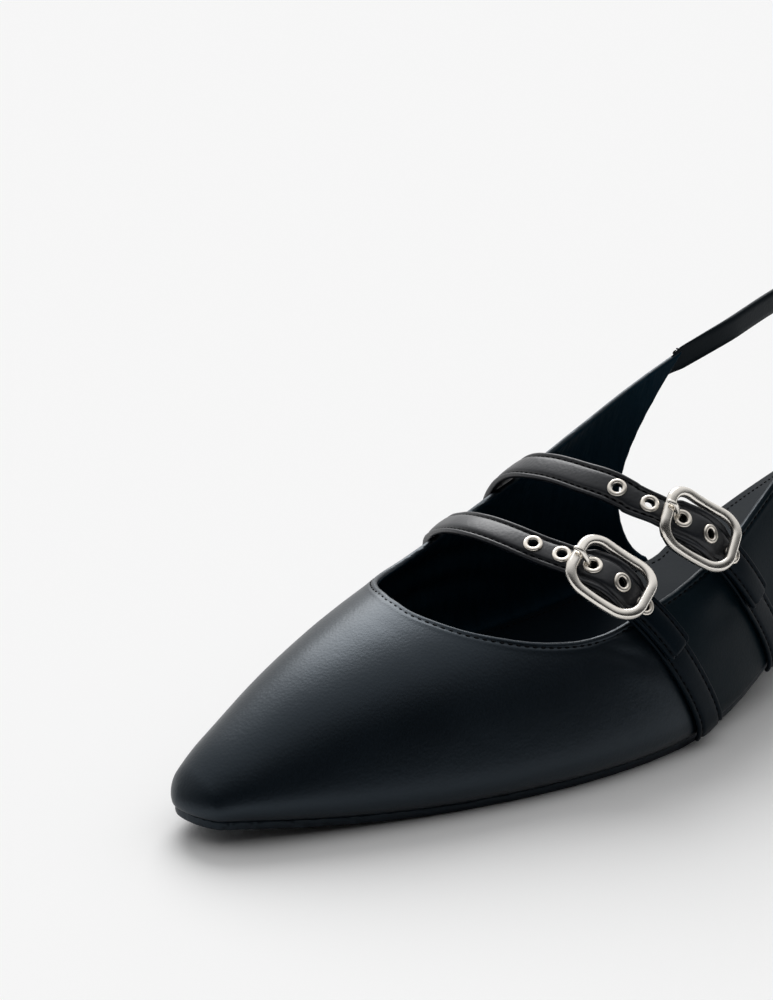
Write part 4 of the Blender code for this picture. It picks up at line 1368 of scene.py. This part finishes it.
COOL = (0.68, 0.84, 1.0)
WARM = (0.98, 0.98, 1.0)
LEATHERS = (
    # name, dark colour, light colour,
    # roughness, grain, cells, wrinkle, gloss, tint
    ("black_leather_fine", (0.0001, 0.0017, 0.0037), (0.0004, 0.0029, 0.0058),
     0.39, 1.2, 1500.0, 0.0, 0.47, COOL),
    ("lining_leather", (0.0016, 0.0135, 0.0240), (0.0040, 0.0200, 0.0340),
     0.60, 0.7, 1100.0, 0.6, 0.06, COOL),
    ("strap_leather_fine", (0.0014, 0.0030, 0.0060), (0.0024, 0.0046, 0.0085),
     0.41, 1.7, 1300.0, 0.0, 0.56, WARM),
    # copy of the upper's black leather for the outer quarter, with its colour raised and its gloss cut:
    # a painted reflection
    ("side_leather_painted_reflection", (0.0010, 0.0056, 0.0090), (0.0020, 0.0076, 0.0118),
     0.44, 1.0, 1500.0, 0.0, 0.07, COOL),
    ("band_leather_fine", (0.0008, 0.0034, 0.0060), (0.0016, 0.0050, 0.0088),
     0.42, 1.3, 1300.0, 0.0, 0.09, COOL),
    ("sling_leather_fine", (0.0030, 0.0062, 0.0084), (0.0048, 0.0084, 0.0115),
     0.46, 1.3, 1300.0, 0.0, 0.10, COOL),
    ("insole_leather_fine", (0.0026, 0.0060, 0.0095), (0.0042, 0.0082, 0.0125),
     0.62, 1.0, 1000.0, 0.0, 0.04, COOL),
    ("sole_leather_fine", (0.0015, 0.004, 0.007), (0.003, 0.006, 0.010),
     0.48, 1.2, 900.0, 0.0, 0.35, COOL),
    ("heel_leather_fine", (0.0008, 0.0048, 0.0095), (0.0014, 0.0065, 0.0125),
     0.36, 0.9, 1500.0, 0.0, 0.36, COOL),
)
(black, lining, strap_black, side_painted_reflection, band_black, sling_black,
 insole_grey, sole_dark, heel_black) = (leather(*row) for row in LEATHERS)
tread = rubber("tread_rubber", (0.008, 0.008, 0.008), (0.015, 0.015, 0.015), 0.68, 0.5)
silver = metal("polished_silver", (0.86, 0.82, 0.76), (0.92, 0.88, 0.82), 0.24)
eyelet_silver = metal("eyelet_silver", (0.86, 0.80, 0.72), (0.92, 0.87, 0.79), 0.28)
thread = rubber("black_thread", (0.0006, 0.0010, 0.0018), (0.0012, 0.0018, 0.003), 0.60, 0.06)

build_upper([black, lining, side_painted_reflection])
build_sole_pieces(sole_dark, insole_grey)
insole_line(thread)
build_heel_pieces(heel_black, tread)
build_sling(sling_black)

seam, seam_up = surface_offset(*free_edge(1400), SEAM_IN)
keep = seam[:, 2] > last_bottom((seam[:, 1] + ORIGIN_FROM_TOE) / SHOE_LENGTH) + 0.002
seam = seam[keep] - seam_up[keep] * (SEAM_DEPTH * 0.7)
stitch_rows("topline_stitches", [(seam, seam_up[keep])], thread)

# Where the seams of the strap stop at the buckle, and how far they and the bands' stop short
SEAM_STOPS = (-0.0078, 0.0086)
SEAM_ENDS = (0.001, 0.0014)
BAND_SEAM_START = 0.004
rows = []
for which in ("front", "rear"):
    path = StrapPath(which)
    build_strap(path, which, strap_black, band_black)
    build_band(path, which, band_black, strap_black)
    build_buckle(path, which, silver)
    build_prong(path, which, silver)
    build_eyelets(path, which, eyelet_silver)
    across = GROOVE_ACROSS * STRAP_WIDTH / 2
    for first, last in ((path.inner_end + SEAM_ENDS[0], SEAM_STOPS[0]),
                        (SEAM_STOPS[1], STRAP_TAIL - SEAM_ENDS[1])):
        stations = np.linspace(first, last, 300)
        level = strap_level(stations) + GROOVE_LEVEL * STRAP_THICKNESS
        rows += [seam_along(path, stations, sign * across, level) for sign in (1, -1)]
    stations = np.linspace(BAND_SEAM_START, path.outer_end - SEAM_ENDS[0], BAND_STATIONS)
    across = GROOVE_ACROSS * band_half(path, stations, BAND_SEAM_START)
    level = CLEARANCE + GROOVE_LEVEL * BAND_BODY
    rows += [seam_along(path, stations, sign * across, level) for sign in (1, -1)]
stitch_rows("strap_stitches", rows, thread)


def smooth_range(tree, value, low, high, to_low, to_high):
    result = remap(tree, value, low, high, to_low, to_high)
    result.node.interpolation_type = "SMOOTHSTEP"
    return result


def towards(tree, direction, way):
    node = tree.nodes.new("ShaderNodeVectorMath")
    node.operation = "DOT_PRODUCT"
    tree.links.new(direction, node.inputs[0])
    node.inputs[1].default_value = way
    return node.outputs["Value"]


# Light: a wide soft panel overhead and behind to the left, dim elsewhere, and a
# stronger soft source within it
FLOOR_REACH = 40.0
PANEL_FROM = (-0.55, 0.37, 0.75)
PANEL_EDGE = (0.02, 0.70)
PANEL_LIGHT = 0.85
DIM_LIGHT = 0.03
SUN_STRENGTH = 2.0
SUN_FROM = (-0.62, 0.42, 0.66)
SUN_ANGLE = 40.0


def studio():
    """Pale floor under a soft dome: bright overhead and behind, dim low in front."""
    floor_mat, tree, shader = make_material("floor_white")
    shader.inputs["Base Color"].default_value = (0.93, 0.93, 0.93, 1.0)
    shader.inputs["Roughness"].default_value = 0.95
    shader.inputs["Specular IOR Level"].default_value = 0.0
    mesh = bpy.data.meshes.new("floor")
    corners = [(x * FLOOR_REACH, y * FLOOR_REACH, 0) for x, y in ((-1, -1), (1, -1), (1, 1), (-1, 1))]
    mesh.from_pydata(corners, [], [(0, 1, 2, 3)])
    mesh.materials.append(floor_mat)
    floor = add_object("floor", mesh)
    world = bpy.data.worlds.new("studio")
    bpy.context.scene.world = world
    world.use_nodes = True
    tree = world.node_tree
    direction = tree.nodes.new("ShaderNodeTexCoord").outputs["Generated"]
    near = towards(tree, direction, PANEL_FROM)
    total = smooth_range(tree, near, *PANEL_EDGE, DIM_LIGHT, PANEL_LIGHT)
    background = tree.nodes["Background"]
    background.inputs["Color"].default_value = (1.0, 1.0, 1.0, 1.0)
    tree.links.new(total, background.inputs["Strength"])


def build_sun():
    data = bpy.data.lights.new("sun", "SUN")
    data.energy = SUN_STRENGTH
    data.angle = radians(SUN_ANGLE)
    sun = add_object("sun", data)
    way = -mathutils.Vector(SUN_FROM)
    sun.rotation_euler = way.to_track_quat("-Z", "Y").to_euler()


# Camera: angles round the shoe in degrees, the point that it looks at and its distance in metres
CAMERA_AZIMUTH = 50.7
CAMERA_ELEVATION = 19.8
CAMERA_AIM = (-0.134, -0.070, 0.0)
CAMERA_DISTANCE = 0.600
FOCAL_PIXELS = 1926.0
IMAGE_HEIGHT = 1000
SENSOR_HEIGHT = 36.0


def build_camera():
    a = radians(CAMERA_AZIMUTH)
    e = radians(CAMERA_ELEVATION)
    back = mathutils.Vector((sin(a) * cos(e), -cos(a) * cos(e), sin(e)))
    right = mathutils.Vector((cos(a), sin(a), 0.0))
    up = back.cross(right)
    place = mathutils.Vector(CAMERA_AIM) + back * CAMERA_DISTANCE
    data = bpy.data.cameras.new("camera")
    camera = add_object("camera", data)
    camera.matrix_world = mathutils.Matrix((
        (right.x, up.x, back.x, place.x),
        (right.y, up.y, back.y, place.y),
        (right.z, up.z, back.z, place.z),
        (0.0, 0.0, 0.0, 1.0),
    ))
    data.sensor_fit = "VERTICAL"
    data.sensor_height = SENSOR_HEIGHT
    data.lens = SENSOR_HEIGHT * FOCAL_PIXELS / IMAGE_HEIGHT
    data.clip_start = 0.01
    bpy.context.scene.camera = camera


studio()
build_sun()
bpy.context.scene.view_settings.view_transform = "Standard"
build_camera()
